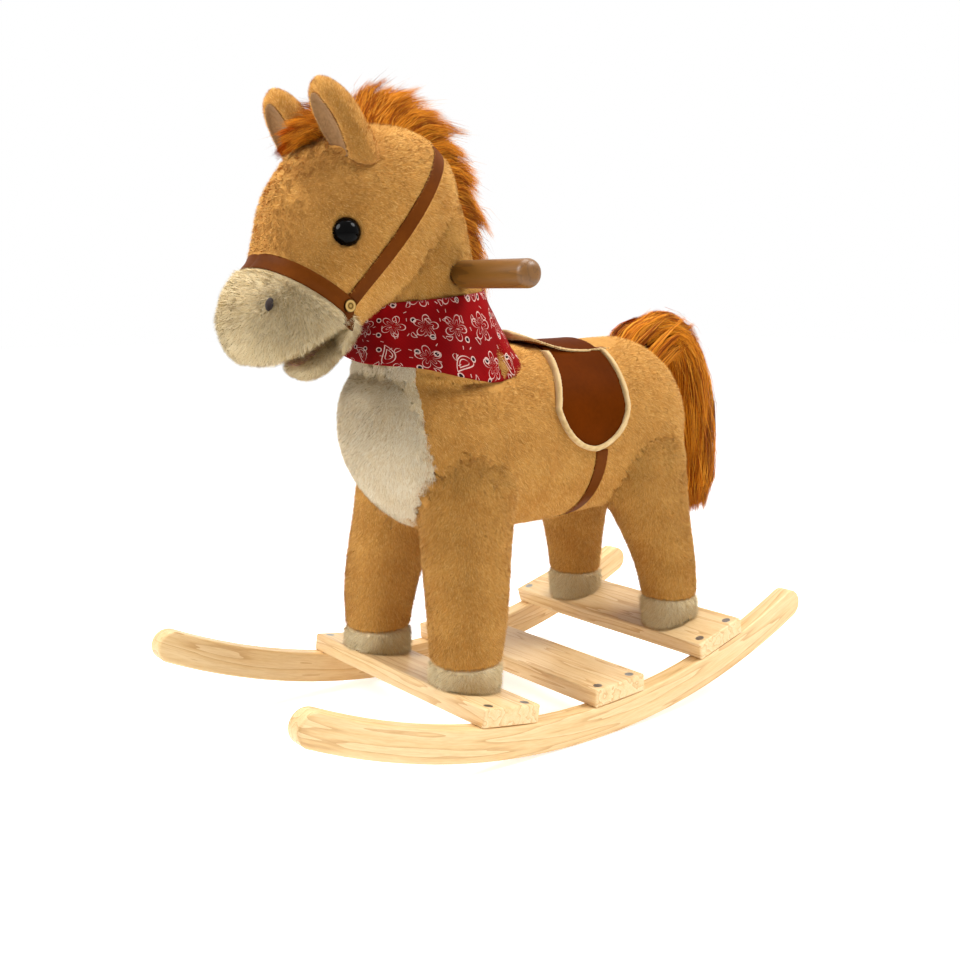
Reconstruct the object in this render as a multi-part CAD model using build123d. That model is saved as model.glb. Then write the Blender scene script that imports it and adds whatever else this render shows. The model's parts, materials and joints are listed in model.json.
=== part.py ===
from build123d import *
from math import asin, cos, degrees, radians, sin, sqrt
import os

# Plush rocking horse. Millimetres. +X is forward, +Y the horse's left, +Z up.
# The origin is on the floor, under the middle of the two rockers.

# Rockers and cross planks
ROCKER_RADIUS = 735.0        # underside of the rocker
ROCKER_DEPTH = 32.0
ROCKER_THICK = 20.0
ROCKER_SPACING = 280.0       # between the rockers' centre planes
ROCKER_HALF_SWEEP = 25.4     # degrees each way, to the middle of the rounded end
ROCKER_ROUND = 2.5
PLANK_WIDTH = 68.0
PLANK_THICK = 18.0
PLANK_LENGTH = 300.0
PLANK_ROUND = 2.0
FOOTREST_X = -38.0
SCREW_SHANK_R = 2.0
SCREW_HEAD_R = 4.5
SCREW_LENGTH = 36.0
SCREW_HEAD_DEPTH = 3.0
SCREW_INSET = 12.0           # from the plank's long edge

# Steel frame inside the plush
TUBE_R = 11.0
TUBE_WALL = 1.5
FRONT_FOOT_X = 101.0
REAR_FOOT_X = -187.0
FOOT_Y = 78.0
FRONT_HIP_X = 83.0
REAR_HIP_X = -130.0
HIP_Y = 48.0
SPINE_Z = 330.0
YOKE_OVERHANG = 16.0
FOOT_PLATE_R = 25.0
FOOT_PLATE_THICK = 5.0
BOLT_R = 3.0
BOLT_PITCH = 36.0
BOLT_HEAD_R = 5.5
BOLT_HEAD_DEPTH = 4.0
SEAT_BOARD_LENGTH = 126.0
SEAT_BOARD_WIDTH = 92.0
SEAT_BOARD_THICK = 12.0
SEAT_BOARD_X = -62.0

# Handle
HANDLE_X = 91.0
HANDLE_Z = 452.0
HANDLE_TIP_Y = 163.0
GRIP_R = 13.0
GRIP_START_Y = 63.0
GRIP_END_ROUND = 9.0
TENON_R = 10.0
TENON_GAP = 4.0              # from each tenon's end to the middle of the sleeve
SLEEVE_WALL = 2.5
SLEEVE_HALF = 48.0
LOCK_SCREW_Y = 30.0
LOCK_SCREW_R = 2.0
LOCK_SCREW_HEAD_R = 3.8
LOCK_SCREW_HEAD_DEPTH = 2.5
LOCK_SCREW_BITE = 7.0        # into the tenon

# Clearances
FIT = 0.05                   # pins in their bores
PRESS = 0.02                 # pieces held tight
STUFF_FIT = 0.15             # stuffing round a hard piece
YOKE_FIT = 0.3               # round the yoke and the spine it meets, so that no two rooms
SPINE_FIT = 0.45             # share a face
OFFCUT = 200.0               # mm3, smaller pieces that a cut leaves are dropped
SEAT_FIT = 0.2               # a hard piece resting on another
SWING_FIT = 0.8              # crank pins in their slots, which take up the crank's sine

# Stuffed forms: x, y, z, lean, up, down, half width of each oval section.
# The lean turns the section's up direction from +Z towards +X, in degrees.
OVAL_FULLNESS = 0.72
BODY = [
    (-224, 0, 290, 0, 32, 32, 38),
    (-212, 0, 290, 0, 63, 61, 65),
    (-187, 0, 292, 0, 85, 83, 83),
    (-147, 0, 293, 0, 93, 91, 90),
    (-87, 0, 288, 0, 96, 88, 89),
    (-17, 0, 286, 0, 97, 90, 89),
    (43, 0, 288, 0, 99, 94, 90),
    (93, 0, 294, 0, 91, 94, 85),
    (128, 0, 302, 0, 77, 84, 73),
    (155, 0, 308, 0, 57, 63, 55),
    (170, 0, 312, 0, 30, 34, 30),
]
NECK = [
    (79, 0, 352, 88, 82, 82, 76),
    (84, 0, 378, 92, 79, 78, 71),
    (97, 0, 420, 98, 69, 63, 60),
    (109, 0, 470, 104, 65, 55, 57),
    (119, 0, 515, 110, 58, 48, 54),
]
HEAD = [
    (86, 0, 557, 38, 22, 22, 24),
    (98, 0, 549, 38, 46, 46, 46),
    (125, 0, 530, 38, 72, 66, 64),
    (161, 0, 505, 39, 84, 76, 71),
    (194, 0, 475, 45, 73, 70, 68),
    (227, 0, 432, 56, 53, 55, 59),
]
MUZZLE = [
    (227, 0, 432, 56, 53, 55, 59),
    (239, 0, 414, 56, 56, 52, 61),
    (253, 0, 393, 56, 54, 43, 57),
    (263, 0, 378, 56, 44, 31, 46),
    (269, 0, 369, 56, 24, 17, 25),
]
FRONT_LEG = [
    (72, 40, 312, 90, 38, 40, 32),
    (78, 52, 262, 90, 52, 56, 40),
    (89, 62, 200, 90, 44, 47, 39),
    (95, 72, 150, 90, 40, 40, 38),
    (99, 77, 105, 90, 35.5, 34.5, 35),
    (101, 78, 40, 90, 33.5, 33.5, 33.5),
]
REAR_LEG = [
    (-150, 40, 312, 90, 44, 40, 32),
    (-155, 52, 262, 90, 62, 58, 42),
    (-167, 62, 200, 90, 46, 43, 38),
    (-179, 72, 150, 90, 35, 32.5, 33),
    (-185, 77, 100, 90, 28, 28, 28.5),
    (-187, 78, 50, 90, 28, 28, 28.5),
]
HOOF_HEIGHT = 26.0           # of the pale cuff, above the plank at the foot
CHEST_SEAM_FOOT_X = 118.0    # the chest panel's seam, a leaning plane
CHEST_SEAM_FOOT_Z = 235.0
CHEST_SEAM_LEAN = 15.0

# Mane and tail, in long pile
MANE = [
    (36, 0, 434, -100, 8, 12, 7),
    (43, 0, 470, -95, 16, 22, 12),
    (56, 0, 515, -72, 17, 24, 15),
    (78, 0, 552, -50, 17, 24, 17),
    (108, 0, 578, -22, 18, 24, 18),
    (142, 0, 591, 2, 18, 24, 19),
    (178, 0, 589, 18, 16, 22, 20),
    (206, 0, 578, 36, 13, 18, 20),
    (222, 0, 567, 48, 8, 8, 12),
]
TAIL = [
    (-210, 0, 377, -137, 9, 20, 16),
    (-222, 0, 387, -146, 14, 20, 19),
    (-240, 0, 392, -176, 16, 18, 22),
    (-261, 0, 383, 148, 23, 20, 25),
    (-280, 0, 355, 117, 28, 22, 28),
    (-290, 0, 306, 101, 30, 24, 30),
    (-296, 0, 256, 97, 28, 23, 29),
    (-302, 0, 210, 95, 20, 17, 20),
    (-305, 0, 190, 95, 9, 8, 10),
]

# Ears: along a leaning axis, with the hollow facing forwards
EAR_BASE = (189.0, 45.0, 545.0)
EAR_TIP = (225.0, 40.0, 613.0)
EAR_TURN = -5.0              # degrees outwards from straight ahead that the hollow faces
# Share of the axis, half width, half thickness
EAR_STATIONS = [(0.0, 16, 11), (0.32, 21, 14), (0.64, 21, 14), (0.87, 16, 11), (1.0, 8, 6), (1.04, 3, 2.5)]
HOLLOW_STATIONS = [(0.2, 7, 6), (0.42, 13, 9), (0.68, 13.5, 9), (0.86, 9, 7), (0.95, 4, 4)]
HOLLOW_FRONT = 16.0          # from the ear's axis to the middle of its hollow
EAR_LINING_THICK = 1.6
SWITCH_R = 7.5
SWITCH_DEPTH = 6.0
SWITCH_STATION = 0.5
SWITCH_BACK = 1.0            # the switch's front face, from the ear's axis
BUTTON_R = 4.5
BUTTON_DEPTH = 2.5
BUTTON_TRAVEL = 1.5

# Eyes
EYE = (215.0, 58.5, 487.0)
EYE_TURN = 62.0              # degrees from +X towards +Y that the eye looks
EYE_R = 12.5
EYE_SHANK_R = 3.0
EYE_SHANK = 20.0             # from the eye's centre

# Bridle
STRAP_THICK = 2.2
NOSEBAND_WIDTH = 15.0
NOSEBAND_DROP = 21.0         # its ends, below the head's axis
HEADSTALL_WIDTH = 14.0
HEADSTALL_FOOT = (214.0, 424.0)
HEADSTALL_TOP = (117.0, 546.0)
HEADSTALL_END = 2.0          # past its foot, under the stud
CONCHO_R = 5.5
CONCHO_THICK = 2.5
CONCHO_Y = 57.0

# Saddle
FLAP_THICK = 3.0
FLAP_FRONT_TOP_X = -31.0
FLAP_REAR_TOP_X = -102.0
FLAP_TOP_Z = 376.0
FLAP_FRONT_X = -9.0
FLAP_REAR_X = -100.0
FLAP_WIDEST_Z = 322.0
FLAP_BOTTOM_X = -55.0
FLAP_BOTTOM_Z = 281.0
FLAP_FULLNESS = 0.67         # of the curve to its lowest point: 0.5 is straight, 0.707 an ellipse
FLAP_REACH_Z = 460.0         # above the back, where the two flaps' outline ends
PIPING = 3.6
PIPING_PROUD = 5.0
SEAT = [
    (-7, 0, 393, 0, 4, 3, 16),
    (-16, 0, 389, 0, 7, 5, 30),
    (-50, 0, 378, 0, 16, 11, 43),
    (-100, 0, 376, 0, 19, 10, 44),
    (-136, 0, 378, 0, 16, 8, 36),
    (-152, 0, 379, 0, 8, 4, 16),
]
GIRTH_X = -66.0
GIRTH_WIDTH = 16.0
GIRTH_THICK = 2.0

# Bandana: a flared band with soft folds
BANDANA_TOP = (99, 0, 432, 96, 67, 66, 61)
BANDANA_FOOT = (84, 0, 352, 78, 88, 90, 81)
BANDANA_FOLDS = 14
BANDANA_FOLD_DEPTH = 7.0
BANDANA_WALL = 3.0
BANDANA_STAND = 1.5          # off the neck at its upper edge

# Jaw and its drive, in the middle plane: x, z
JAW_HINGE = (187.0, 412.0)
JAW_DROP = 38.0              # degrees below level at rest
JAW_PIN_R = 2.5
JAW_HUB_R = 6.5
JAW_HUB_HALF = 14.0
JAW = [(12, -8, 6, 15), (22, -10, 10, 22), (41, -10, 11, 25), (59, -9, 10, 22), (67, -6, 6, 13)]
JAW_LINING_THICK = 2.0
JAW_PLATE_DEEP = 8.0         # the plate's upper face, below the hinge line
JAW_PLATE_THICK = 3.0
JAW_PLATE_END = 54.0
JAW_PLATE_HALF = 15.0
JAW_ARM_LENGTH = 43.0
JAW_ARM_HALF = 5.5
ARM_THICK = 3.0
CRANK_ARM = 9.0
CRANK_PIN_R = 2.0
CRANK_DISC_R = 12.0
CRANK_DISC_THICK = 3.0
CRANK_SHAFT_R = 3.0
CRANK_SHAFT = 9.0
CRANK_CENTRE = 26.0          # from the hinge to the crank
JAW_ARM_LEAN = 10.0          # degrees back from upright
LIP_SLOPE = 30.0             # degrees below level
LIP_POINT = (236.0, 399.0)
LIP_REAR = 206.0
MOUTH_HALF = 29.0
PALATE_THICK = 2.4
PALATE_LENGTH = 40.0
PALATE_HALF = 34.0
GEARBOX_BACK = 21.0
GEARBOX_FRONT = 14.0
GEARBOX_HALF = 24.0
LUG_INNER = 16.0
LUG_OUTER = 22.0
LUG_HALF = 7.0
HINGE_ROOM_BACK = 14.0       # free of stuffing round the hinge
HINGE_ROOM_FRONT = 21.0
HINGE_ROOM_DROP = 100.0

# Tail drive
TAIL_PIVOT_X = -188.0
TAIL_LEVER_Z = 348.0
TAIL_GEARBOX_TOP = 341.0
TAIL_GEARBOX_DEEP = 36.0
TAIL_GEARBOX_HALF = 18.0
TAIL_POCKET_TOP = 358.0
TAIL_ROD_R = 3.5
TAIL_EXIT_HEIGHT = 21.0      # of the opening the rod leaves the body by
TAIL_ROD = [(-188, 350), (-210, 377), (-236, 394), (-263, 384), (-284, 352)]
TAIL_ROD_BEND = 18.0
TAIL_WAG_ROOM = 6.0          # between the rump and the tail's pile

# Battery box in the belly
BATTERY_X = -20.0
BATTERY_Z = 213.0            # underside of the cover
BATTERY_LENGTH = 64.0
BATTERY_WIDTH = 56.0
BATTERY_WALL = 2.0
CELL_R = 7.1
CELL_LENGTH = 49.0
CELL_PITCH = 16.5

LONG = 600.0                 # beyond the whole object
MIN_BOTTOM = (Align.CENTER, Align.CENTER, Align.MIN)


def oval(x, y, z, lean, up, down, half, grow=0.0):
    """One section of a stuffed form: four arcs, in a plane that holds the Y direction."""
    plane = Plane(
        origin=(x, y, z),
        x_dir=(0, 1, 0),
        z_dir=(cos(radians(lean)), 0, -sin(radians(lean))),
    )
    side, top, low = half + grow, up + grow, down + grow
    corners = [(side, 0), (0, top), (-side, 0), (0, -low)]
    full = OVAL_FULLNESS
    bulges = [
        (side * full, top * full),
        (-side * full, top * full),
        (-side * full, -low * full),
        (side * full, -low * full),
    ]
    arcs = [ThreePointArc(corners[i], bulges[i], corners[(i + 1) % 4]) for i in range(4)]
    return plane * make_face(arcs)


def stuffed(sections, grow=0.0, side=1):
    return loft([oval(x, side * y, *rest, grow=grow) for x, y, *rest in sections])


def rod(start, end, radius):
    axis = Vector(*end) - Vector(*start)
    return Plane(origin=start, z_dir=axis) * Cylinder(radius, axis.length, align=MIN_BOTTOM)


def block(x0, x1, y0, y1, z0, z1):
    return Pos((x0 + x1) / 2, (y0 + y1) / 2, (z0 + z1) / 2) * Box(x1 - x0, y1 - y0, z1 - z0)


def along_y(x, z, radius, y0, y1):
    return rod((x, y0, z), (x, y1, z), radius)


def largest(shape):
    return max(shape.solids(), key=lambda solid: solid.volume)


def both(shape):
    return [shape, mirror(shape, about=Plane.XZ)]


def write(name, shape):
    if isinstance(shape, (list, tuple)):
        shape = Compound(children=[solid for item in shape for solid in item.solids()])
    export_step(shape, f"parts/{name}.step")


os.makedirs("parts", exist_ok=True)

# Rockers: a bent band with round ends
rocker_top_r = ROCKER_RADIUS - ROCKER_DEPTH


def arc_point(radius, angle, tangent=0.0):
    """A point of the rocker's side view, by its radius and its angle from the lowest point."""
    a = radians(angle)
    return (radius * sin(a) + tangent * cos(a), ROCKER_RADIUS - radius * cos(a) + tangent * sin(a))


def rocker_profile():
    middle = ROCKER_RADIUS - ROCKER_DEPTH / 2
    sweep = ROCKER_HALF_SWEEP
    low = [arc_point(ROCKER_RADIUS, a) for a in (-sweep, 0, sweep)]
    high = [arc_point(rocker_top_r, a) for a in (sweep, 0, -sweep)]
    front_end = arc_point(middle, sweep, ROCKER_DEPTH / 2)
    rear_end = arc_point(middle, -sweep, -ROCKER_DEPTH / 2)
    return make_face([
        ThreePointArc(*low),
        ThreePointArc(low[2], front_end, high[0]),
        ThreePointArc(*high),
        ThreePointArc(high[2], rear_end, low[0]),
    ])


rocker_blank = extrude(Plane.XZ * rocker_profile(), ROCKER_THICK / 2, both=True)
rocker_blank = fillet(rocker_blank.edges().filter_by(GeomType.CIRCLE), ROCKER_ROUND)

# Planks: each lies on a flat of the rockers, at the slope that they have there
plank_under_r = sqrt(rocker_top_r**2 - (PLANK_WIDTH / 2) ** 2)
plank_top_r = plank_under_r - PLANK_THICK


def plank_angle(x):
    return degrees(asin(x / plank_top_r))


def on_plank(x):
    """A place on a plank's upper face, at this x, with Z square to the plank."""
    return Pos(0, 0, ROCKER_RADIUS) * Rot(0, -plank_angle(x), 0) * Pos(0, 0, -plank_top_r)


def plank_top(x):
    return ROCKER_RADIUS - plank_top_r * cos(radians(plank_angle(x)))


def wood_screw(grow=0.0):
    """A countersunk screw, its head flush at z = 0."""
    head = Pos(0, 0, -SCREW_HEAD_DEPTH) * Cone(
        SCREW_SHANK_R + grow, SCREW_HEAD_R + grow, SCREW_HEAD_DEPTH, align=MIN_BOTTOM
    )
    return head + Pos(0, 0, -SCREW_LENGTH) * Cylinder(
        SCREW_SHANK_R + grow, SCREW_LENGTH, align=MIN_BOTTOM
    )


def leg_bolt(grow=0.0):
    """A bolt from under the plank into the foot plate, with z = 0 at the plank's upper face."""
    shank = Pos(0, 0, -PLANK_THICK) * Cylinder(
        BOLT_R + grow, PLANK_THICK + FOOT_PLATE_THICK, align=MIN_BOTTOM
    )
    return shank + Pos(0, 0, -PLANK_THICK) * Cylinder(
        BOLT_HEAD_R + grow, BOLT_HEAD_DEPTH + grow, align=MIN_BOTTOM
    )


screw_across = PLANK_WIDTH / 2 - SCREW_INSET
plank_places = {"front_plank": FRONT_FOOT_X, "footrest_plank": FOOTREST_X, "rear_plank": REAR_FOOT_X}
foot_places = {"front": FRONT_FOOT_X, "rear": REAR_FOOT_X}
screw_spots = [
    on_plank(x) * Pos(along, side * ROCKER_SPACING / 2, 0)
    for x in plank_places.values()
    for along in (-screw_across, screw_across)
    for side in (-1, 1)
]
bolt_spots = [
    on_plank(x) * Pos(along, side * FOOT_Y, 0)
    for x in foot_places.values()
    for along in (-BOLT_PITCH / 2, BOLT_PITCH / 2)
    for side in (-1, 1)
]
screw_holes = [spot * wood_screw(PRESS) for spot in screw_spots]
bolt_holes = [spot * leg_bolt(PRESS) for spot in bolt_spots]

plank_boxes = {}
for name, x in plank_places.items():
    slab = Pos(0, 0, -PLANK_THICK / 2) * Box(PLANK_WIDTH, PLANK_LENGTH, PLANK_THICK)
    plank_boxes[name] = on_plank(x) * slab
    plank = on_plank(x) * fillet(slab.edges(), PLANK_ROUND)
    write(name, plank - screw_holes - bolt_holes)
for name, side in (("left_rocker", 1), ("right_rocker", -1)):
    rocker = Pos(0, side * ROCKER_SPACING / 2, 0) * rocker_blank
    write(name, rocker - list(plank_boxes.values()) - screw_holes)
write("plank_screws", [spot * wood_screw() for spot in screw_spots])
write("leg_bolts", [spot * leg_bolt() for spot in bolt_spots])

# Steel frame: legs to the yokes, a spine between them, the neck tube with the handles' sleeve
bore_r = TUBE_R - TUBE_WALL
yoke_half = HIP_Y + YOKE_OVERHANG
hip_places = {"front": FRONT_HIP_X, "rear": REAR_HIP_X}
yoke_rods = {end: along_y(x, SPINE_Z, TUBE_R, -yoke_half, yoke_half) for end, x in hip_places.items()}
spine_rod = rod((REAR_HIP_X, 0, SPINE_Z), (FRONT_HIP_X, 0, SPINE_Z), TUBE_R)
yokes = list(yoke_rods.values())


def below_plank(x):
    return on_plank(x) * Pos(0, 0, -LONG / 2) * Box(LONG, LONG, LONG)


def leg_ends(end, side):
    foot_x, hip_x = foot_places[end], hip_places[end]
    return (foot_x, side * FOOT_Y, plank_top(foot_x)), (hip_x, side * HIP_Y, SPINE_Z)


def foot_plate(end, side, grow=0.0):
    disc = Cylinder(FOOT_PLATE_R + grow, FOOT_PLATE_THICK + grow, align=MIN_BOTTOM)
    return on_plank(foot_places[end]) * Pos(0, side * FOOT_Y, 0) * disc


def leg_tube(end, side):
    foot, hip = leg_ends(end, side)
    upward = (Vector(*hip) - Vector(*foot)).normalized()
    start = Vector(*foot) - upward * TUBE_R
    inside = Vector(*foot) + upward * (FOOT_PLATE_THICK + TUBE_R)
    tube = rod(tuple(start), hip, TUBE_R) + foot_plate(end, side)
    tube = tube - below_plank(foot_places[end]) - rod(tuple(inside), hip, bore_r)
    return tube - yoke_rods[end] - bolt_holes


def leg_core(end, side):
    """The room that a leg tube and its foot plate take in the stuffing."""
    foot, hip = leg_ends(end, side)
    return [rod(foot, hip, TUBE_R + STUFF_FIT), foot_plate(end, side, STUFF_FIT)]


sides = {"left": 1, "right": -1}
for end in foot_places:
    for side_name, side in sides.items():
        write(f"{end}_{side_name}_leg_tube", largest(leg_tube(end, side)))
write("yoke_tubes", [
    yoke_rods[end] - along_y(x, SPINE_Z, bore_r, -yoke_half, yoke_half) for end, x in hip_places.items()
])
spine = spine_rod - rod((REAR_HIP_X, 0, SPINE_Z), (FRONT_HIP_X, 0, SPINE_Z), bore_r) - yokes
write("spine_tube", largest(spine))

sleeve_r = TENON_R + FIT + SLEEVE_WALL
neck_foot = (FRONT_HIP_X, 0, SPINE_Z)
neck_head = (HANDLE_X, 0, HANDLE_Z)
sleeve_rod = along_y(HANDLE_X, HANDLE_Z, sleeve_r, -SLEEVE_HALF, SLEEVE_HALF)
sleeve_bore = along_y(HANDLE_X, HANDLE_Z, TENON_R + FIT, -SLEEVE_HALF, SLEEVE_HALF)
neck_rod = rod(neck_foot, neck_head, TUBE_R)


def lock_screw(grow=0.0):
    """From under the sleeve into the tenon, with its head against the sleeve."""
    low = HANDLE_Z - sleeve_r - LOCK_SCREW_HEAD_DEPTH
    tip = HANDLE_Z - TENON_R + LOCK_SCREW_BITE
    place = Pos(HANDLE_X, LOCK_SCREW_Y, low - grow)
    head = Cylinder(LOCK_SCREW_HEAD_R + grow, LOCK_SCREW_HEAD_DEPTH + grow, align=MIN_BOTTOM)
    shank = Cylinder(LOCK_SCREW_R + grow, tip - low + grow, align=MIN_BOTTOM)
    return place * (head + shank)


lock_screws = both(lock_screw())
lock_holes = both(lock_screw(PRESS))
neck_tube = sleeve_rod + (neck_rod - rod(neck_foot, neck_head, bore_r)) - sleeve_bore
write("neck_tube", largest(neck_tube - yoke_rods["front"] - spine_rod - lock_holes))
write("handle_screws", lock_screws)

grip = along_y(HANDLE_X, HANDLE_Z, GRIP_R, GRIP_START_Y, HANDLE_TIP_Y)
grip = fillet(grip.edges().sort_by(Axis.Y)[-1:], GRIP_END_ROUND)
handle = grip + along_y(HANDLE_X, HANDLE_Z, TENON_R, TENON_GAP, GRIP_START_Y) - lock_holes
for name, shape in zip(("left_handle", "right_handle"), both(handle)):
    write(name, shape)

board_low = SPINE_Z + TUBE_R + SEAT_FIT
seat_board = Pos(SEAT_BOARD_X, 0, board_low) * Box(
    SEAT_BOARD_LENGTH, SEAT_BOARD_WIDTH, SEAT_BOARD_THICK, align=MIN_BOTTOM
)
seat_board = fillet(seat_board.edges().filter_by(Axis.Z), SEAT_BOARD_WIDTH / 4)
write("seat_board", seat_board)
board_room = Pos(SEAT_BOARD_X, 0, board_low - STUFF_FIT) * Box(
    SEAT_BOARD_LENGTH + 2 * STUFF_FIT,
    SEAT_BOARD_WIDTH + 2 * STUFF_FIT,
    SEAT_BOARD_THICK + 2 * STUFF_FIT,
    align=MIN_BOTTOM,
)

# Battery box: case, cover and three cells
half_long, half_wide = BATTERY_LENGTH / 2, BATTERY_WIDTH / 2
case_low = BATTERY_Z + BATTERY_WALL
case_top = case_low + 2 * CELL_R + 2 * BATTERY_WALL
battery_case = block(
    BATTERY_X - half_long, BATTERY_X + half_long, -half_wide, half_wide, case_low, case_top
)
battery_case -= block(
    BATTERY_X - half_long + BATTERY_WALL,
    BATTERY_X + half_long - BATTERY_WALL,
    -half_wide + BATTERY_WALL,
    half_wide - BATTERY_WALL,
    case_low,
    case_top - BATTERY_WALL,
)
write("battery_case", battery_case)
write(
    "battery_cover",
    block(BATTERY_X - half_long, BATTERY_X + half_long, -half_wide, half_wide, BATTERY_Z, case_low),
)
cell_z = case_low + CELL_R + SEAT_FIT
write("battery_cells", [
    rod(
        (BATTERY_X - CELL_LENGTH / 2, row * CELL_PITCH, cell_z),
        (BATTERY_X + CELL_LENGTH / 2, row * CELL_PITCH, cell_z),
        CELL_R,
    )
    for row in (-1, 0, 1)
])
battery_room = block(
    BATTERY_X - half_long - STUFF_FIT,
    BATTERY_X + half_long + STUFF_FIT,
    -half_wide - STUFF_FIT,
    half_wide + STUFF_FIT,
    BATTERY_Z - STUFF_FIT,
    case_top + STUFF_FIT,
)

# Stuffed forms, whole, before they are cut by each other
body_form = stuffed(BODY)
neck_form = stuffed(NECK)
head_form = stuffed(HEAD)
muzzle_form = stuffed(MUZZLE)

# Tail drive: gearbox, upright pin, crank, and a lever that carries the tail's bent rod
crank_x = TAIL_PIVOT_X + CRANK_CENTRE
lever_top = TAIL_LEVER_Z + ARM_THICK
tail_gearbox = block(
    TAIL_PIVOT_X - JAW_HUB_R,
    crank_x + CRANK_DISC_R,
    -TAIL_GEARBOX_HALF,
    TAIL_GEARBOX_HALF,
    TAIL_GEARBOX_TOP - TAIL_GEARBOX_DEEP,
    TAIL_GEARBOX_TOP,
)
pin_foot = TAIL_GEARBOX_TOP - 2 * CRANK_SHAFT
tail_pin = rod((TAIL_PIVOT_X, 0, pin_foot), (TAIL_PIVOT_X, 0, lever_top + JAW_PIN_R), JAW_PIN_R)
tail_gearbox -= rod(
    (TAIL_PIVOT_X, 0, pin_foot), (TAIL_PIVOT_X, 0, TAIL_GEARBOX_TOP), JAW_PIN_R + PRESS
)
shaft_foot = TAIL_GEARBOX_TOP - CRANK_SHAFT
tail_gearbox -= rod(
    (crank_x, 0, shaft_foot - SEAT_FIT), (crank_x, 0, TAIL_GEARBOX_TOP), CRANK_SHAFT_R + FIT
)


def crank():
    """Disc, shaft and eccentric pin: the disc's lower face at z = 0, the pin towards +X."""
    disc = Cylinder(CRANK_DISC_R, CRANK_DISC_THICK, align=MIN_BOTTOM)
    shaft = Pos(0, 0, -CRANK_SHAFT) * Cylinder(CRANK_SHAFT_R, CRANK_SHAFT, align=MIN_BOTTOM)
    pin_length = CRANK_DISC_THICK + 2 * ARM_THICK
    pin = Pos(CRANK_ARM, 0, 0) * Cylinder(CRANK_PIN_R, pin_length, align=MIN_BOTTOM)
    return disc + shaft + pin


def slotted_arm(length, half):
    """A lever from z = 0 up, turning at the origin, its slot round the crank pin towards +X."""
    slot_half = CRANK_PIN_R + SWING_FIT
    pin_far = CRANK_CENTRE + CRANK_ARM
    pin_near = CRANK_CENTRE
    reach = pin_far - pin_near + 2 * (CRANK_PIN_R + SWING_FIT) + 2 * SWING_FIT
    arm = Pos(length / 2, 0, 0) * Box(length, 2 * half, ARM_THICK, align=MIN_BOTTOM)
    slot = Pos((pin_far + pin_near) / 2, 0, 0) * Box(reach, 2 * slot_half, ARM_THICK, align=MIN_BOTTOM)
    return arm - slot


write("tail_crank", Pos(crank_x, 0, TAIL_GEARBOX_TOP + SEAT_FIT) * crank())
write("tail_gearbox", tail_gearbox)

rod_points = [(x, 0, z) for x, z in TAIL_ROD]
rod_path = FilletPolyline(*rod_points, radius=TAIL_ROD_BEND)
tail_rod = sweep(Plane(origin=rod_points[0], z_dir=rod_path % 0) * Circle(TAIL_ROD_R), path=rod_path)
tail_hub = rod((TAIL_PIVOT_X, 0, TAIL_LEVER_Z), (TAIL_PIVOT_X, 0, lever_top), JAW_HUB_R)
tail_lever = Pos(TAIL_PIVOT_X, 0, TAIL_LEVER_Z) * slotted_arm(JAW_ARM_LENGTH, JAW_ARM_HALF)
tail_core = tail_hub + tail_lever + tail_rod
tail_core -= block(
    TAIL_PIVOT_X - LONG, TAIL_PIVOT_X + LONG, -LONG, LONG, 0, TAIL_LEVER_Z
)
tail_core -= rod((TAIL_PIVOT_X, 0, 0), (TAIL_PIVOT_X, 0, lever_top + TUBE_R), JAW_PIN_R + FIT)
write("tail_core", largest(tail_core))
tail_hair = stuffed(TAIL) - tail_rod - stuffed(BODY, grow=TAIL_WAG_ROOM)
write("tail_hair", largest(tail_hair))

tail_room = block(
    TAIL_PIVOT_X - JAW_HUB_R - STUFF_FIT,
    TAIL_PIVOT_X + JAW_ARM_LENGTH + SWING_FIT,
    -TAIL_GEARBOX_HALF - STUFF_FIT,
    TAIL_GEARBOX_HALF + STUFF_FIT,
    TAIL_GEARBOX_TOP - TAIL_GEARBOX_DEEP - STUFF_FIT,
    TAIL_POCKET_TOP,
)
exit_start, exit_end = rod_points[0], rod_points[2]
exit_axis = Vector(*exit_end) - Vector(*exit_start)
tail_exit = Plane(origin=exit_start, x_dir=(0, 1, 0), z_dir=exit_axis) * Box(
    2 * TAIL_GEARBOX_HALF, TAIL_EXIT_HEIGHT, 2 * exit_axis.length
)

# Jaw drive: frame at the hinge, whose X runs along the jaw and Z towards the palate
hinge_x, hinge_z = JAW_HINGE
jaw_place = Pos(hinge_x, 0, hinge_z) * Rot(0, JAW_DROP, 0)
arm_lean = radians(JAW_ARM_LEAN)
jaw_crank_x = hinge_x - CRANK_CENTRE * sin(arm_lean)
jaw_crank_z = hinge_z + CRANK_CENTRE * cos(arm_lean)
arm_y = ARM_THICK                      # inner face of the jaw's arm
disc_y = arm_y - SEAT_FIT - CRANK_DISC_THICK
# A frame whose Z is +Y and X runs along the upright arm
arm_along = (-sin(arm_lean), 0, cos(arm_lean))
arm_frame = Plane(origin=(hinge_x, arm_y, hinge_z), x_dir=arm_along, z_dir=(0, 1, 0))
crank_frame = Plane(
    origin=(jaw_crank_x, disc_y, jaw_crank_z), x_dir=(-sin(arm_lean), 0, cos(arm_lean)), z_dir=(0, 1, 0)
)
write("jaw_crank", crank_frame * crank())

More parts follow.
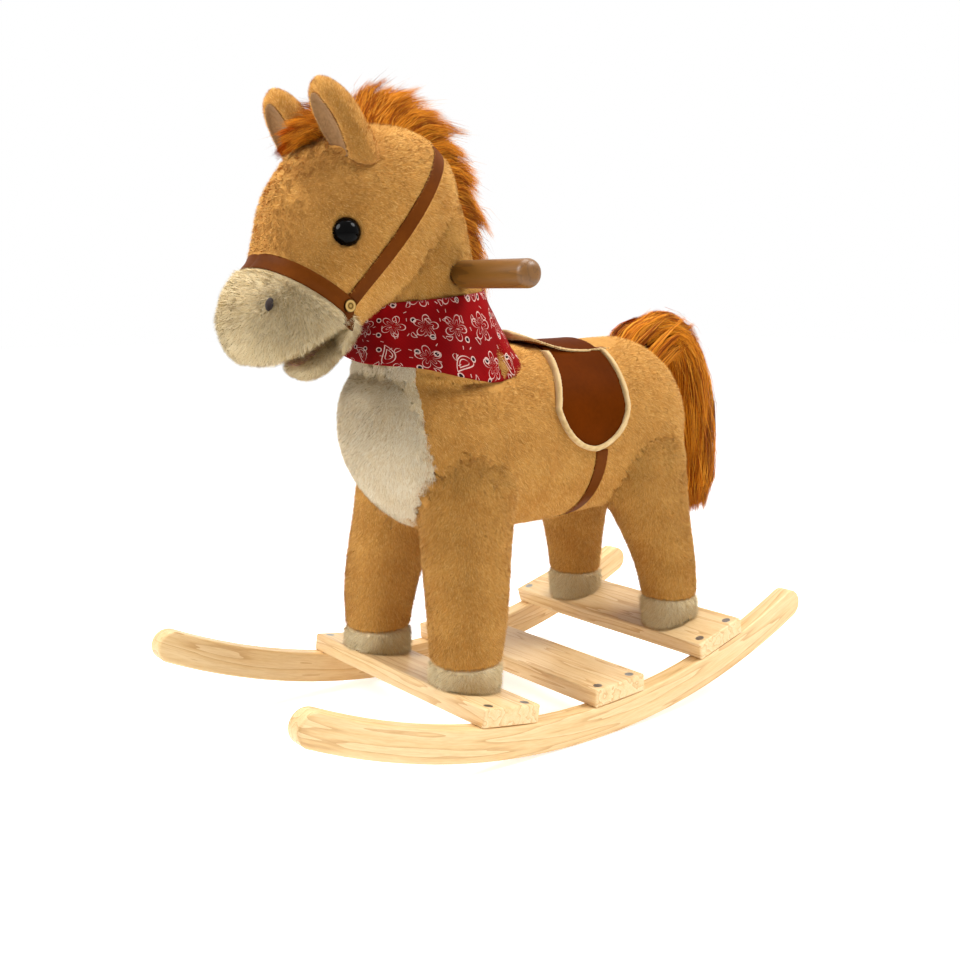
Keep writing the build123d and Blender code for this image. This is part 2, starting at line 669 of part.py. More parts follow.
box_low = jaw_crank_z - CRANK_DISC_R
box_top = hinge_z + JAW_ARM_LENGTH + JAW_HUB_R
bridge_low = box_top - ARM_THICK
box_face = disc_y - SEAT_FIT
jaw_gearbox = block(
    jaw_crank_x - GEARBOX_BACK, jaw_crank_x + GEARBOX_FRONT, -GEARBOX_HALF, box_face, box_low, box_top
)
jaw_gearbox += block(
    jaw_crank_x - GEARBOX_BACK, jaw_crank_x + GEARBOX_FRONT, box_face, LUG_OUTER, bridge_low, box_top
)
for y0, y1, top in ((-LUG_OUTER, -LUG_INNER, box_low), (LUG_INNER, LUG_OUTER, box_top)):
    jaw_gearbox += block(hinge_x - LUG_HALF, hinge_x + LUG_HALF, y0, y1, hinge_z, top)
    jaw_gearbox += along_y(hinge_x, hinge_z, LUG_HALF, y0, y1)
jaw_gearbox -= along_y(hinge_x, hinge_z, JAW_PIN_R + PRESS, -LUG_OUTER, LUG_OUTER)
jaw_gearbox -= along_y(
    jaw_crank_x, jaw_crank_z, CRANK_SHAFT_R + FIT, disc_y - CRANK_SHAFT - SEAT_FIT, disc_y
)
write("jaw_gearbox", jaw_gearbox)
jaw_pin = along_y(hinge_x, hinge_z, JAW_PIN_R, -LUG_OUTER, LUG_OUTER)
write("hinge_pins", [jaw_pin, tail_pin])

jaw_hub = along_y(hinge_x, hinge_z, JAW_HUB_R, -JAW_HUB_HALF, JAW_HUB_HALF)
plate_low = -JAW_PLATE_DEEP - JAW_PLATE_THICK
jaw_tongue = block(0, JAW_PLATE_END, -JAW_PLATE_HALF, JAW_PLATE_HALF, plate_low, -JAW_PLATE_DEEP)
jaw_web = block(0, JAW_HUB_R, -JAW_HUB_HALF, JAW_HUB_HALF, plate_low, 0)
jaw_tongue = jaw_place * (jaw_tongue + jaw_web)
jaw_arm = arm_frame * slotted_arm(JAW_ARM_LENGTH, JAW_ARM_HALF)
jaw_bore = along_y(hinge_x, hinge_z, JAW_PIN_R + FIT, -JAW_HUB_HALF, JAW_HUB_HALF)
jaw_plate = jaw_hub + jaw_arm + jaw_tongue - jaw_bore
write("jaw_plate", jaw_plate)


def jaw_section(along, middle, half_thick, half):
    a = radians(JAW_DROP)
    x = hinge_x + along * cos(a) + middle * sin(a)
    z = hinge_z - along * sin(a) + middle * cos(a)
    return (x, 0, z, JAW_DROP, half_thick, half_thick, half)


jaw_form = stuffed([jaw_section(*station) for station in JAW])
jaw_upper = jaw_place * block(-LONG, LONG, -LONG, LONG, -JAW_LINING_THICK, LONG)
lining_slab = jaw_place * block(JAW[1][0], LONG, -LONG, LONG, -JAW_LINING_THICK, 0)
write("jaw_lining", largest(jaw_form & lining_slab))
hub_room = along_y(hinge_x, hinge_z, JAW_HUB_R + STUFF_FIT, -LONG, LONG)
write("jaw_plush", largest(jaw_form - jaw_upper - jaw_plate - hub_room))

jaw_room = block(
    jaw_crank_x - GEARBOX_BACK - STUFF_FIT,
    hinge_x + LUG_HALF + JAW_HUB_R,
    -GEARBOX_HALF - STUFF_FIT,
    GEARBOX_HALF + STUFF_FIT,
    box_low - STUFF_FIT,
    box_top + STUFF_FIT,
)
hinge_room = block(
    hinge_x - HINGE_ROOM_BACK,
    hinge_x + HINGE_ROOM_FRONT,
    -GEARBOX_HALF - STUFF_FIT,
    GEARBOX_HALF + STUFF_FIT,
    hinge_z - HINGE_ROOM_DROP,
    box_low,
)

# Mouth: the muzzle ends at the sloping lip, and a narrower opening runs back to the hinge
lip_x, lip_z = LIP_POINT
lip_frame = Pos(lip_x, 0, lip_z) * Rot(0, LIP_SLOPE, 0)
under_lip = lip_frame * block(-LONG, LONG, -LONG, LONG, -LONG, 0)
lip_cut = under_lip & block(LIP_REAR, LONG, -LONG, LONG, 0, LONG)
mouth_cut = under_lip & block(hinge_x, LONG, -MOUTH_HALF, MOUTH_HALF, 0, LONG)
palate = lip_frame * block(0, PALATE_LENGTH, -PALATE_HALF, PALATE_HALF, -PALATE_THICK, 0)
palate = palate & muzzle_form
write("mouth_lining", largest(palate))

# Ears, with the press switch in the left one
ear_axis = Vector(*EAR_TIP) - Vector(*EAR_BASE)
ear_face = Vector(cos(radians(EAR_TURN)), sin(radians(EAR_TURN)), 0)
ear_across = ear_face.cross(ear_axis).normalized()
ear_front = ear_axis.cross(ear_across).normalized()


def ear_section(station, half, thick, front=0.0):
    origin = Vector(*EAR_BASE) + ear_axis * station + ear_front * front
    plane = Plane(origin=origin, x_dir=ear_across, z_dir=ear_axis)
    corners = [(half, 0), (0, thick), (-half, 0), (0, -thick)]
    full = OVAL_FULLNESS
    signs = [(1, 1), (-1, 1), (-1, -1), (1, -1)]
    arcs = [
        ThreePointArc(corners[i], (sx * half * full, sy * thick * full), corners[(i + 1) % 4])
        for i, (sx, sy) in enumerate(signs)
    ]
    return plane * make_face(arcs)


def ear_hollow(grow=0.0):
    last = len(HOLLOW_STATIONS) - 1
    ends = {0: -grow / ear_axis.length, last: grow / ear_axis.length}
    return loft([
        ear_section(station + ends.get(i, 0.0), half + grow, thick + grow, HOLLOW_FRONT)
        for i, (station, half, thick) in enumerate(HOLLOW_STATIONS)
    ])


ear_form = loft([ear_section(*station) for station in EAR_STATIONS])
hollow_back = ear_hollow(EAR_LINING_THICK)
switch_origin = Vector(*EAR_BASE) + ear_axis * SWITCH_STATION + ear_front * SWITCH_BACK
switch_frame = Plane(origin=switch_origin, x_dir=ear_across, z_dir=ear_front)


def switch_case(grow=0.0):
    return switch_frame * Pos(0, 0, -SWITCH_DEPTH - grow) * Cylinder(
        SWITCH_R + grow, SWITCH_DEPTH + 2 * grow, align=MIN_BOTTOM
    )


button_well = switch_frame * Pos(0, 0, -BUTTON_DEPTH - BUTTON_TRAVEL - SEAT_FIT) * Cylinder(
    BUTTON_R + FIT, BUTTON_DEPTH + BUTTON_TRAVEL + SEAT_FIT, align=MIN_BOTTOM
)
write("ear_switch", switch_case() - button_well)
button = Cylinder(BUTTON_R, BUTTON_DEPTH, align=MIN_BOTTOM)
write("ear_button", switch_frame * Pos(0, 0, -BUTTON_DEPTH) * button)
ear_shell = largest(ear_form - head_form - hollow_back)
ear_lining = largest(((hollow_back - ear_hollow()) & ear_form) - head_form)
write("left_ear", largest(ear_shell - switch_case(STUFF_FIT) - head_form))
write("right_ear", mirror(ear_shell, about=Plane.XZ))
write("ear_linings", both(ear_lining))

# Eyes: domes on shanks
eye_frame = Plane(origin=EYE, z_dir=(cos(radians(EYE_TURN)), sin(radians(EYE_TURN)), 0))


def eye(grow=0.0):
    dome = Sphere(EYE_R + grow) - Pos(0, 0, -EYE_R - grow) * Box(LONG, LONG, EYE_R)
    shank = Pos(0, 0, -EYE_SHANK - grow) * Cylinder(EYE_SHANK_R + grow, EYE_SHANK, align=MIN_BOTTOM)
    return eye_frame * (dome + shank)


eye_rooms = both(eye(PRESS))
for name, shape in zip(("left_eye", "right_eye"), both(eye())):
    write(name, shape)

# Bridle: straps follow the head, between it and the same form grown by the strap
muzzle_slope = MUZZLE[0]
head_axis_place = Pos(muzzle_slope[0], 0, muzzle_slope[2]) * Rot(0, muzzle_slope[3], 0)
half_band = NOSEBAND_WIDTH / 2
band_slab = head_axis_place * block(-half_band, half_band, -LONG, LONG, -NOSEBAND_DROP, LONG)
head_skin = stuffed(HEAD, grow=STRAP_THICK) + stuffed(MUZZLE, grow=STRAP_THICK)
head_whole = head_form + muzzle_form
noseband = largest((head_skin & band_slab) - head_whole)

foot_x, foot_z = HEADSTALL_FOOT
top_x, top_z = HEADSTALL_TOP
stall_axis = Vector(top_x - foot_x, 0, top_z - foot_z)
stall_frame = Plane(origin=(foot_x, 0, foot_z), x_dir=(0, 1, 0), z_dir=stall_axis)
half_stall = HEADSTALL_WIDTH / 2
stall_slab = stall_frame * block(-LONG, LONG, -half_stall, half_stall, -HEADSTALL_END, LONG)
headstall = (head_skin & stall_slab) - head_whole - noseband - stuffed(MANE)
headstall_pieces = [piece for piece in headstall.solids() if piece.volume > OFFCUT]


def concho(side):
    y0 = side * (CONCHO_Y - CONCHO_THICK)
    return along_y(foot_x, foot_z, CONCHO_R, y0, side * (CONCHO_Y + 2 * CONCHO_THICK))


conchos = [concho(1), concho(-1)]
write("noseband", noseband - conchos)
write("headstall", [piece - conchos for piece in headstall_pieces])
write("conchos", [shape - head_whole for shape in conchos])

# Bandana: flared, with folds that open towards its lower edge
def folded_ring(x, y, z, lean, up, down, half, fold, inset):
    plane = Plane(
        origin=(x, y, z), x_dir=(0, 1, 0), z_dir=(cos(radians(lean)), 0, -sin(radians(lean)))
    )

    def spot(turn, out):
        a = radians(360 * turn / BANDANA_FOLDS)
        reach = up if cos(a) >= 0 else down
        return ((half + out - inset) * sin(a), (reach + out - inset) * cos(a))

    arcs = []
    for i in range(BANDANA_FOLDS):
        out = fold if i % 2 else -fold / 4
        arcs.append(ThreePointArc(spot(i, 0), spot(i + 0.5, out), spot(i + 1, 0)))
    return plane * make_face(arcs)


def bandana_form(inset):
    middle = [(a + b) / 2 for a, b in zip(BANDANA_TOP, BANDANA_FOOT)]
    return loft([
        folded_ring(*BANDANA_TOP, 0.5, inset),
        folded_ring(*middle, BANDANA_FOLD_DEPTH / 2, inset),
        folded_ring(*BANDANA_FOOT, BANDANA_FOLD_DEPTH, inset),
    ])


grip_room = both(grip)
bandana = bandana_form(-BANDANA_STAND) - bandana_form(BANDANA_WALL - BANDANA_STAND)
bandana = largest(bandana - neck_form - body_form - head_whole - grip_room - stuffed(MANE))
write("bandana", bandana)

# Saddle: flaps over the back, crowned seat, piping and girth
def flap_outline(grow=0.0):
    front, rear, low = FLAP_FRONT_X + grow, FLAP_REAR_X - grow, FLAP_BOTTOM_Z - grow
    slope = (FLAP_REACH_Z - FLAP_WIDEST_Z) / (FLAP_TOP_Z - FLAP_WIDEST_Z)
    front_top = front + slope * (FLAP_FRONT_TOP_X - FLAP_FRONT_X)
    rear_top = rear + slope * (FLAP_REAR_TOP_X - FLAP_REAR_X)
    side_z = FLAP_WIDEST_Z - FLAP_FULLNESS * (FLAP_WIDEST_Z - low)
    front_bend = FLAP_BOTTOM_X + FLAP_FULLNESS * (front - FLAP_BOTTOM_X)
    rear_bend = FLAP_BOTTOM_X + FLAP_FULLNESS * (rear - FLAP_BOTTOM_X)
    return make_face([
        Line((rear_top, FLAP_REACH_Z), (front_top, FLAP_REACH_Z)),
        Line((front_top, FLAP_REACH_Z), (front, FLAP_WIDEST_Z)),
        ThreePointArc((front, FLAP_WIDEST_Z), (front_bend, side_z), (FLAP_BOTTOM_X, low)),
        ThreePointArc((FLAP_BOTTOM_X, low), (rear_bend, side_z), (rear, FLAP_WIDEST_Z)),
        Line((rear, FLAP_WIDEST_Z), (rear_top, FLAP_REACH_Z)),
    ])


def flap_prism(grow=0.0):
    return extrude(Plane.XZ * flap_outline(grow), LONG / 2, both=True)


flap_skin = stuffed(BODY, grow=FLAP_THICK)
flaps = largest((flap_skin & flap_prism()) - body_form)
seat_form = stuffed(SEAT)
seat = largest(seat_form - flap_skin - body_form)
piping_skin = stuffed(BODY, grow=PIPING_PROUD)
piping = (piping_skin & (flap_prism(PIPING) - flap_prism())) - body_form
piping -= block(-LONG, LONG, -LONG, LONG, FLAP_TOP_Z, LONG)
seat_rim = [(x, y, z, lean, PIPING, PIPING, half + PIPING) for x, y, z, lean, _, _, half in SEAT]
for end, outwards in ((0, PIPING), (-1, -PIPING)):
    x, *rest = seat_rim[end]
    seat_rim[end] = (x + outwards, *rest)
seat_edge = stuffed(seat_rim) - seat_form - flap_skin
write("saddle_flaps", flaps)
write("saddle_seat", seat)
piping_pieces = [piece for piece in piping.solids() if piece.volume > OFFCUT]
flap_edges = [largest(piece - seat_form - seat_edge) for piece in piping_pieces]
write("saddle_piping", flap_edges + [largest(seat_edge)])
girth_slab = block(
    GIRTH_X - GIRTH_WIDTH / 2, GIRTH_X + GIRTH_WIDTH / 2, -LONG, LONG, 0, FLAP_BOTTOM_Z - PIPING
)
girth = (stuffed(BODY, grow=GIRTH_THICK) & girth_slab) - stuffed(BODY, grow=STUFF_FIT) - flap_prism(PIPING)
write("girth_strap", largest(girth))

# The stuffed pieces, each cut by the larger ones and by the hard pieces inside it
spine_room = rod((REAR_HIP_X, 0, SPINE_Z), (FRONT_HIP_X, 0, SPINE_Z), TUBE_R + SPINE_FIT)
yoke_rooms = [
    along_y(x, SPINE_Z, TUBE_R + YOKE_FIT, -yoke_half - STUFF_FIT, yoke_half + STUFF_FIT)
    for x in hip_places.values()
]
neck_room = rod(neck_foot, neck_head, TUBE_R + STUFF_FIT)
sleeve_room = along_y(HANDLE_X, HANDLE_Z, sleeve_r + STUFF_FIT, -SLEEVE_HALF, SLEEVE_HALF)
tenon_room = along_y(HANDLE_X, HANDLE_Z, TENON_R + STUFF_FIT, -GRIP_START_Y, GRIP_START_Y)
lock_rooms = both(lock_screw(STUFF_FIT))
leg_rooms = [
    room for end in foot_places for side in (1, -1) for room in leg_core(end, side)
]

body = body_form
frame_rooms = [*leg_rooms, *yoke_rooms, spine_room, neck_room, board_room]
for room in [*frame_rooms, battery_room, tail_room, tail_exit]:
    body = body - room
seam_frame = Pos(CHEST_SEAM_FOOT_X, 0, CHEST_SEAM_FOOT_Z) * Rot(0, CHEST_SEAM_LEAN, 0)
chest_side = seam_frame * block(0, LONG, -LONG, LONG, -LONG, LONG)
write("body_plush", largest(body - chest_side))
write("chest_panel", largest(body & chest_side))

neck = neck_form - body_form - head_form - neck_room - sleeve_room - tenon_room - lock_rooms
neck = neck - jaw_room - hinge_room - grip_room
write("neck_plush", largest(neck))
head = head_form - jaw_room - hinge_room - mouth_cut - eye_rooms - sleeve_room - neck_room
write("head_plush", largest(head))
muzzle = muzzle_form - head_form - lip_cut - mouth_cut
write("muzzle_plush", largest(muzzle - jaw_room - hinge_room))
mane = stuffed(MANE) - head_form - neck_form - body_form - ear_form - mirror(ear_form, about=Plane.XZ)
write("mane", largest(mane))

for end, sections in (("front", FRONT_LEG), ("rear", REAR_LEG)):
    foot_x = foot_places[end]
    hoof_top = plank_top(foot_x) + HOOF_HEIGHT
    lower = block(-LONG, LONG, -LONG, LONG, 0, hoof_top)
    hooves = []
    for side_name, side in sides.items():
        leg = stuffed(sections, side=side) - body_form - leg_core(end, side)
        write(f"{end}_{side_name}_leg_plush", largest(leg - lower))
        hooves.append(largest((leg & lower) - below_plank(foot_x)))
    write(f"{end}_hooves", hooves)
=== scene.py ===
"""Plush rocking horse: fur, mane, tail, saddle, bridle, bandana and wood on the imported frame."""

import json

import bmesh
import bpy
import numpy as np
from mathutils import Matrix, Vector
from mathutils.bvhtree import BVHTree


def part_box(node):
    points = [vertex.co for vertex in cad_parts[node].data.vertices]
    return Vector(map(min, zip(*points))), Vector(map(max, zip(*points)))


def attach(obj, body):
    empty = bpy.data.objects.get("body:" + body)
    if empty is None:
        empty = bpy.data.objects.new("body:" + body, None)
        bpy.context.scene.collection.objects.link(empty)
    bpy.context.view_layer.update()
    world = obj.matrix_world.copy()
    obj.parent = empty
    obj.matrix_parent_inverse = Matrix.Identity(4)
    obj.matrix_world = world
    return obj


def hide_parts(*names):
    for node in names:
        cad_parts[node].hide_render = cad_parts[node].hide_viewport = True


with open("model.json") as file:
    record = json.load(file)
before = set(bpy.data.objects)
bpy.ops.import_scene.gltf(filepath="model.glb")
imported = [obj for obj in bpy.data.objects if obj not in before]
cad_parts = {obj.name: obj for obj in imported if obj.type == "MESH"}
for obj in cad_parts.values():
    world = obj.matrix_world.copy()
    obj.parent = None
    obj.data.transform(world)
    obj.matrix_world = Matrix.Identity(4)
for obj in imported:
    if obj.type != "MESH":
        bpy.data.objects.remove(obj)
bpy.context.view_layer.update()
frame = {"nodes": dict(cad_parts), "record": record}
nodes = frame["nodes"]
slots = {part["node"]: part["material_slot"] for part in frame["record"]["subparts"]}
scene = bpy.context.scene
rng = np.random.default_rng(11)
MM = 0.001
TURN = 6.2832
SIDEWAYS = np.array([0.0, 1.0, 0.0])


# Materials
def rgb(code):
    """Linear RGBA of an sRGB hex code."""
    parts = [int(code[i:i + 2], 16) / 255 for i in (1, 3, 5)]
    return [p / 12.92 if p <= 0.04045 else ((p + 0.055) / 1.055) ** 2.4 for p in parts] + [1.0]


def feed(tree, node, inputs):
    """Sets each input of a node to a value, or links it to a socket."""
    for key, value in inputs.items():
        if isinstance(value, bpy.types.NodeSocket):
            tree.links.new(value, node.inputs[key])
        else:
            node.inputs[key].default_value = value


def put(tree, kind, inputs, out=0, stops=(), **settings):
    """Adds a node with its settings, inputs and colour stops (place, hex code), and gives one output."""
    node = tree.nodes.new(f"ShaderNode{kind}")
    for key, value in settings.items():
        setattr(node, key, value)
    feed(tree, node, inputs)
    for i, (at, code) in enumerate(stops):
        mark = node.color_ramp.elements[i] if i < 2 else node.color_ramp.elements.new(at)
        mark.position = at
        mark.color = rgb(code)
    return node.outputs[out]


def start(name):
    """A new material with its tree, its shader and its Object coordinates."""
    material = bpy.data.materials.new(name)
    material.use_nodes = True
    tree = material.node_tree
    return material, tree, tree.nodes["Principled BSDF"], put(tree, "TexCoord", {}, "Object")


def two_layers(tree, share, under, under_stops, over, over_stops):
    """Two patterns, each through its own colour stops, the second laid over the first by share."""
    first = put(tree, "ValToRGB", {"Fac": under}, stops=under_stops)
    second = put(tree, "ValToRGB", {"Fac": over}, stops=over_stops)
    return put(tree, "Mix", {0: share, 6: first, 7: second}, 2, data_type="RGBA")


# How broken up an uneven pattern is; its scale is 1000 over the size of its spots in mm
SOFT = {"Detail": 3.0, "Roughness": 0.55}
CLOUDY = {"Detail": 4.0, "Roughness": 0.55}
FINE = {"Detail": 2.0, "Roughness": 0.55}
TUFTED = {"Detail": 2.0, "Roughness": 0.7}
FIGURED = {"Detail": 3.0, "Roughness": 0.5}
POROUS = {"Detail": 2.0, "Roughness": 0.6}


def pile_shades(name, codes, sheen=0.06):
    """Brushed acrylic pile, one plain shade for each tone of fibre: matt, with a faint sheen at its edges."""
    made = []
    for i, code in enumerate(codes):
        material, tree, shader, _ = start(f"{name}_strand_{i}")
        feed(tree, shader, {
            "Base Color": rgb(code), "Roughness": 0.85, "Specular IOR Level": 0.08,
            "Sheen Weight": sheen, "Sheen Roughness": 0.5,
        })
        made.append(material)
    return made


def backing(name, pale, dark, pitch=4.0):
    """Knitted backing under a pile: quite matt, mottled by tufts about pitch mm apart."""
    material, tree, shader, place = start(name)
    clouds = put(tree, "TexNoise", {"Vector": place, "Scale": 1000 / (8 * pitch), **CLOUDY}, "Fac")
    tufts = put(tree, "TexNoise", {"Vector": place, "Scale": 1000 / pitch, **TUFTED}, "Fac")
    stops = [(0.3, dark), (0.7, pale)]
    feed(tree, shader, {
        "Base Color": two_layers(tree, 0.35, clouds, stops, tufts, stops),
        "Roughness": put(tree, "MapRange", {"Value": tufts, "To Min": 0.85, "To Max": 1.0}),
        "Sheen Weight": 0.05, "Specular IOR Level": 0.06,
        "Normal": put(tree, "Bump", {"Height": tufts, "Strength": 0.6, "Distance": 1.5 * MM}),
    })
    return material


def leather(name, pale, mid, dark, gloss):
    """Coated leather: soft patches of tone, a grain of 0.9 mm and a low gloss from its coat."""
    material, tree, shader, place = start(name)
    patch = put(tree, "TexNoise", {"Vector": place, "Scale": 1000 / 71.4, **SOFT}, "Fac")
    fine = put(tree, "TexNoise", {"Vector": place, "Scale": 1000 / 4.17, **FINE}, "Fac")
    cells = {"Vector": place, "Scale": 1000 / 0.9}
    grain = put(tree, "TexVoronoi", cells, "Distance", feature="DISTANCE_TO_EDGE")
    patch_stops = [(0.25, dark), (0.5, mid), (0.8, pale)]
    feed(tree, shader, {
        "Base Color": two_layers(tree, 0.18, patch, patch_stops, fine, [(0.3, dark), (0.7, pale)]),
        "Roughness": put(tree, "MapRange", {"Value": patch, "To Min": 0.42, "To Max": 0.55}),
        "Specular IOR Level": gloss,
        "Normal": put(tree, "Bump", {"Height": grain, "Strength": 0.12, "Distance": 0.15 * MM}),
    })
    return material


def cloth(name, pale, dark, thread=0.7):
    """Woven binding, lining or felt: matt, with diagonal threads of thread mm and faded patches."""
    material, tree, shader, place = start(name)
    wave = {"Vector": place, "Scale": 1000 / thread / 20, "Distortion": 0.6}
    threads = put(tree, "TexWave", wave, "Fac", bands_direction="DIAGONAL")
    patch = put(tree, "TexNoise", {"Vector": place, "Scale": 1000 / 16.7, **SOFT}, "Fac")
    patch_stops = [(0.3, dark), (0.7, pale)]
    feed(tree, shader, {
        "Base Color": two_layers(tree, 0.3, patch, patch_stops, threads, [(0.2, dark), (0.8, pale)]),
        "Roughness": put(tree, "MapRange", {"Value": patch, "To Min": 0.75, "To Max": 0.95}),
        "Sheen Weight": 0.15, "Specular IOR Level": 0.2,
        "Normal": put(tree, "Bump", {"Height": threads, "Strength": 0.35, "Distance": 0.3 * MM}),
    })
    return material


def bent_place(tree, place, height):
    """Place across, along and out from an arc about a line along Y at a height."""
    flat = put(tree, "VectorMath", {0: place, 1: (1, 0, 1)}, operation="MULTIPLY")
    spoke = put(tree, "VectorMath", {0: flat, 1: (0, 0, height)}, operation="SUBTRACT")
    reach = put(tree, "VectorMath", {0: spoke}, "Value", operation="LENGTH")
    parts = put(tree, "SeparateXYZ", {"Vector": spoke}).node.outputs
    drop = put(tree, "Math", {0: 0.0, 1: parts["Z"]}, operation="SUBTRACT")
    angle = put(tree, "Math", {0: parts["X"], 1: drop}, operation="ARCTAN2")
    run = put(tree, "Math", {0: angle, 1: height}, operation="MULTIPLY")
    across = put(tree, "SeparateXYZ", {"Vector": place}, "Y")
    return put(tree, "CombineXYZ", {"X": across, "Y": run, "Z": reach})


GROWTH_RINGS = 9.0


def wood(name, pale, mid, dark, rough, coat=0.0, along=(1.0, 0.06, 1.0), bend_height=None):
    """Planed wood: growth rings drawn out along the grain, fine pores, and a thin varnish by coat."""
    material, tree, shader, place = start(name)
    if bend_height is not None:
        place = bent_place(tree, place, bend_height)
    drawn = put(tree, "Mapping", {"Vector": place, "Scale": along})
    dense = put(tree, "Mapping", {"Vector": place, "Scale": [2.5 * share for share in along]})
    figure = put(tree, "TexNoise", {"Vector": drawn, "Scale": 1000 / 26.3, **FIGURED}, "Fac")
    growth = put(tree, "Math", {0: figure, 1: GROWTH_RINGS}, operation="MULTIPLY")
    rings = put(tree, "Math", {0: growth}, operation="FRACT")
    pores = put(tree, "TexNoise", {"Vector": dense, "Scale": 1000 / 2.63, **POROUS}, "Fac")
    ring_stops = [(0.0, pale), (0.75, mid), (0.95, dark)]
    feed(tree, shader, {
        "Base Color": two_layers(tree, 0.28, rings, ring_stops, pores, [(0.35, dark), (0.6, pale)]),
        "Roughness": put(tree, "MapRange", {"Value": pores, "To Min": rough, "To Max": rough + 0.15}),
        "Coat Weight": coat, "Coat Roughness": 0.12,
        "Normal": put(tree, "Bump", {"Height": pores, "Strength": 0.12, "Distance": 0.2 * MM}),
    })
    return material


def plain(name, pale, dark, rough, metal=0.0, gloss=0.5):
    """Paint, metal or moulded plastic: one colour, faintly uneven over about 8 mm."""
    material, tree, shader, place = start(name)
    uneven = put(tree, "TexNoise", {"Vector": place, "Scale": 1000 / 8.33, **SOFT}, "Fac")
    feed(tree, shader, {
        "Base Color": put(tree, "ValToRGB", {"Fac": uneven}, stops=[(0.3, dark), (0.7, pale)]),
        "Roughness": put(tree, "MapRange", {"Value": uneven, "To Min": rough, "To Max": rough + 0.12}),
        "Metallic": metal, "Specular IOR Level": gloss,
        "Normal": put(tree, "Bump", {"Height": uneven, "Strength": 0.05, "Distance": 0.1 * MM}),
    })
    return material


def stud(name, x, z, radius):
    """Stamped brass in rings about an axis along Y: a painted highlight on the rim, painted shade in the
    groove, a bright middle.
    """
    material, tree, shader, place = start(name)
    flat = put(tree, "VectorMath", {0: place, 1: (1, 0, 1)}, operation="MULTIPLY")
    reach = put(tree, "VectorMath", {0: flat, 1: (x, 0, z)}, "Value", operation="DISTANCE")
    share = put(tree, "Math", {0: reach, 1: radius * MM}, operation="DIVIDE")
    uneven = put(tree, "TexNoise", {"Vector": place, "Scale": 1000 / 3.33, **SOFT}, "Fac")
    # The ring colours paint the stud's light: a highlight on the rim and shade in the groove
    rings = [
        (0.0, "#c8a25c"), (0.3, "#8f6c38"), (0.4, "#2e1f0e"),
        (0.55, "#b08a4c"), (0.8, "#d2ae6a"), (1.0, "#6e4f26"),
    ]
    feed(tree, shader, {
        "Base Color": put(tree, "ValToRGB", {"Fac": share}, stops=rings),
        "Roughness": put(tree, "MapRange", {"Value": uneven, "To Min": 0.25, "To Max": 0.4}),
        "Metallic": 1.0,
    })
    return material


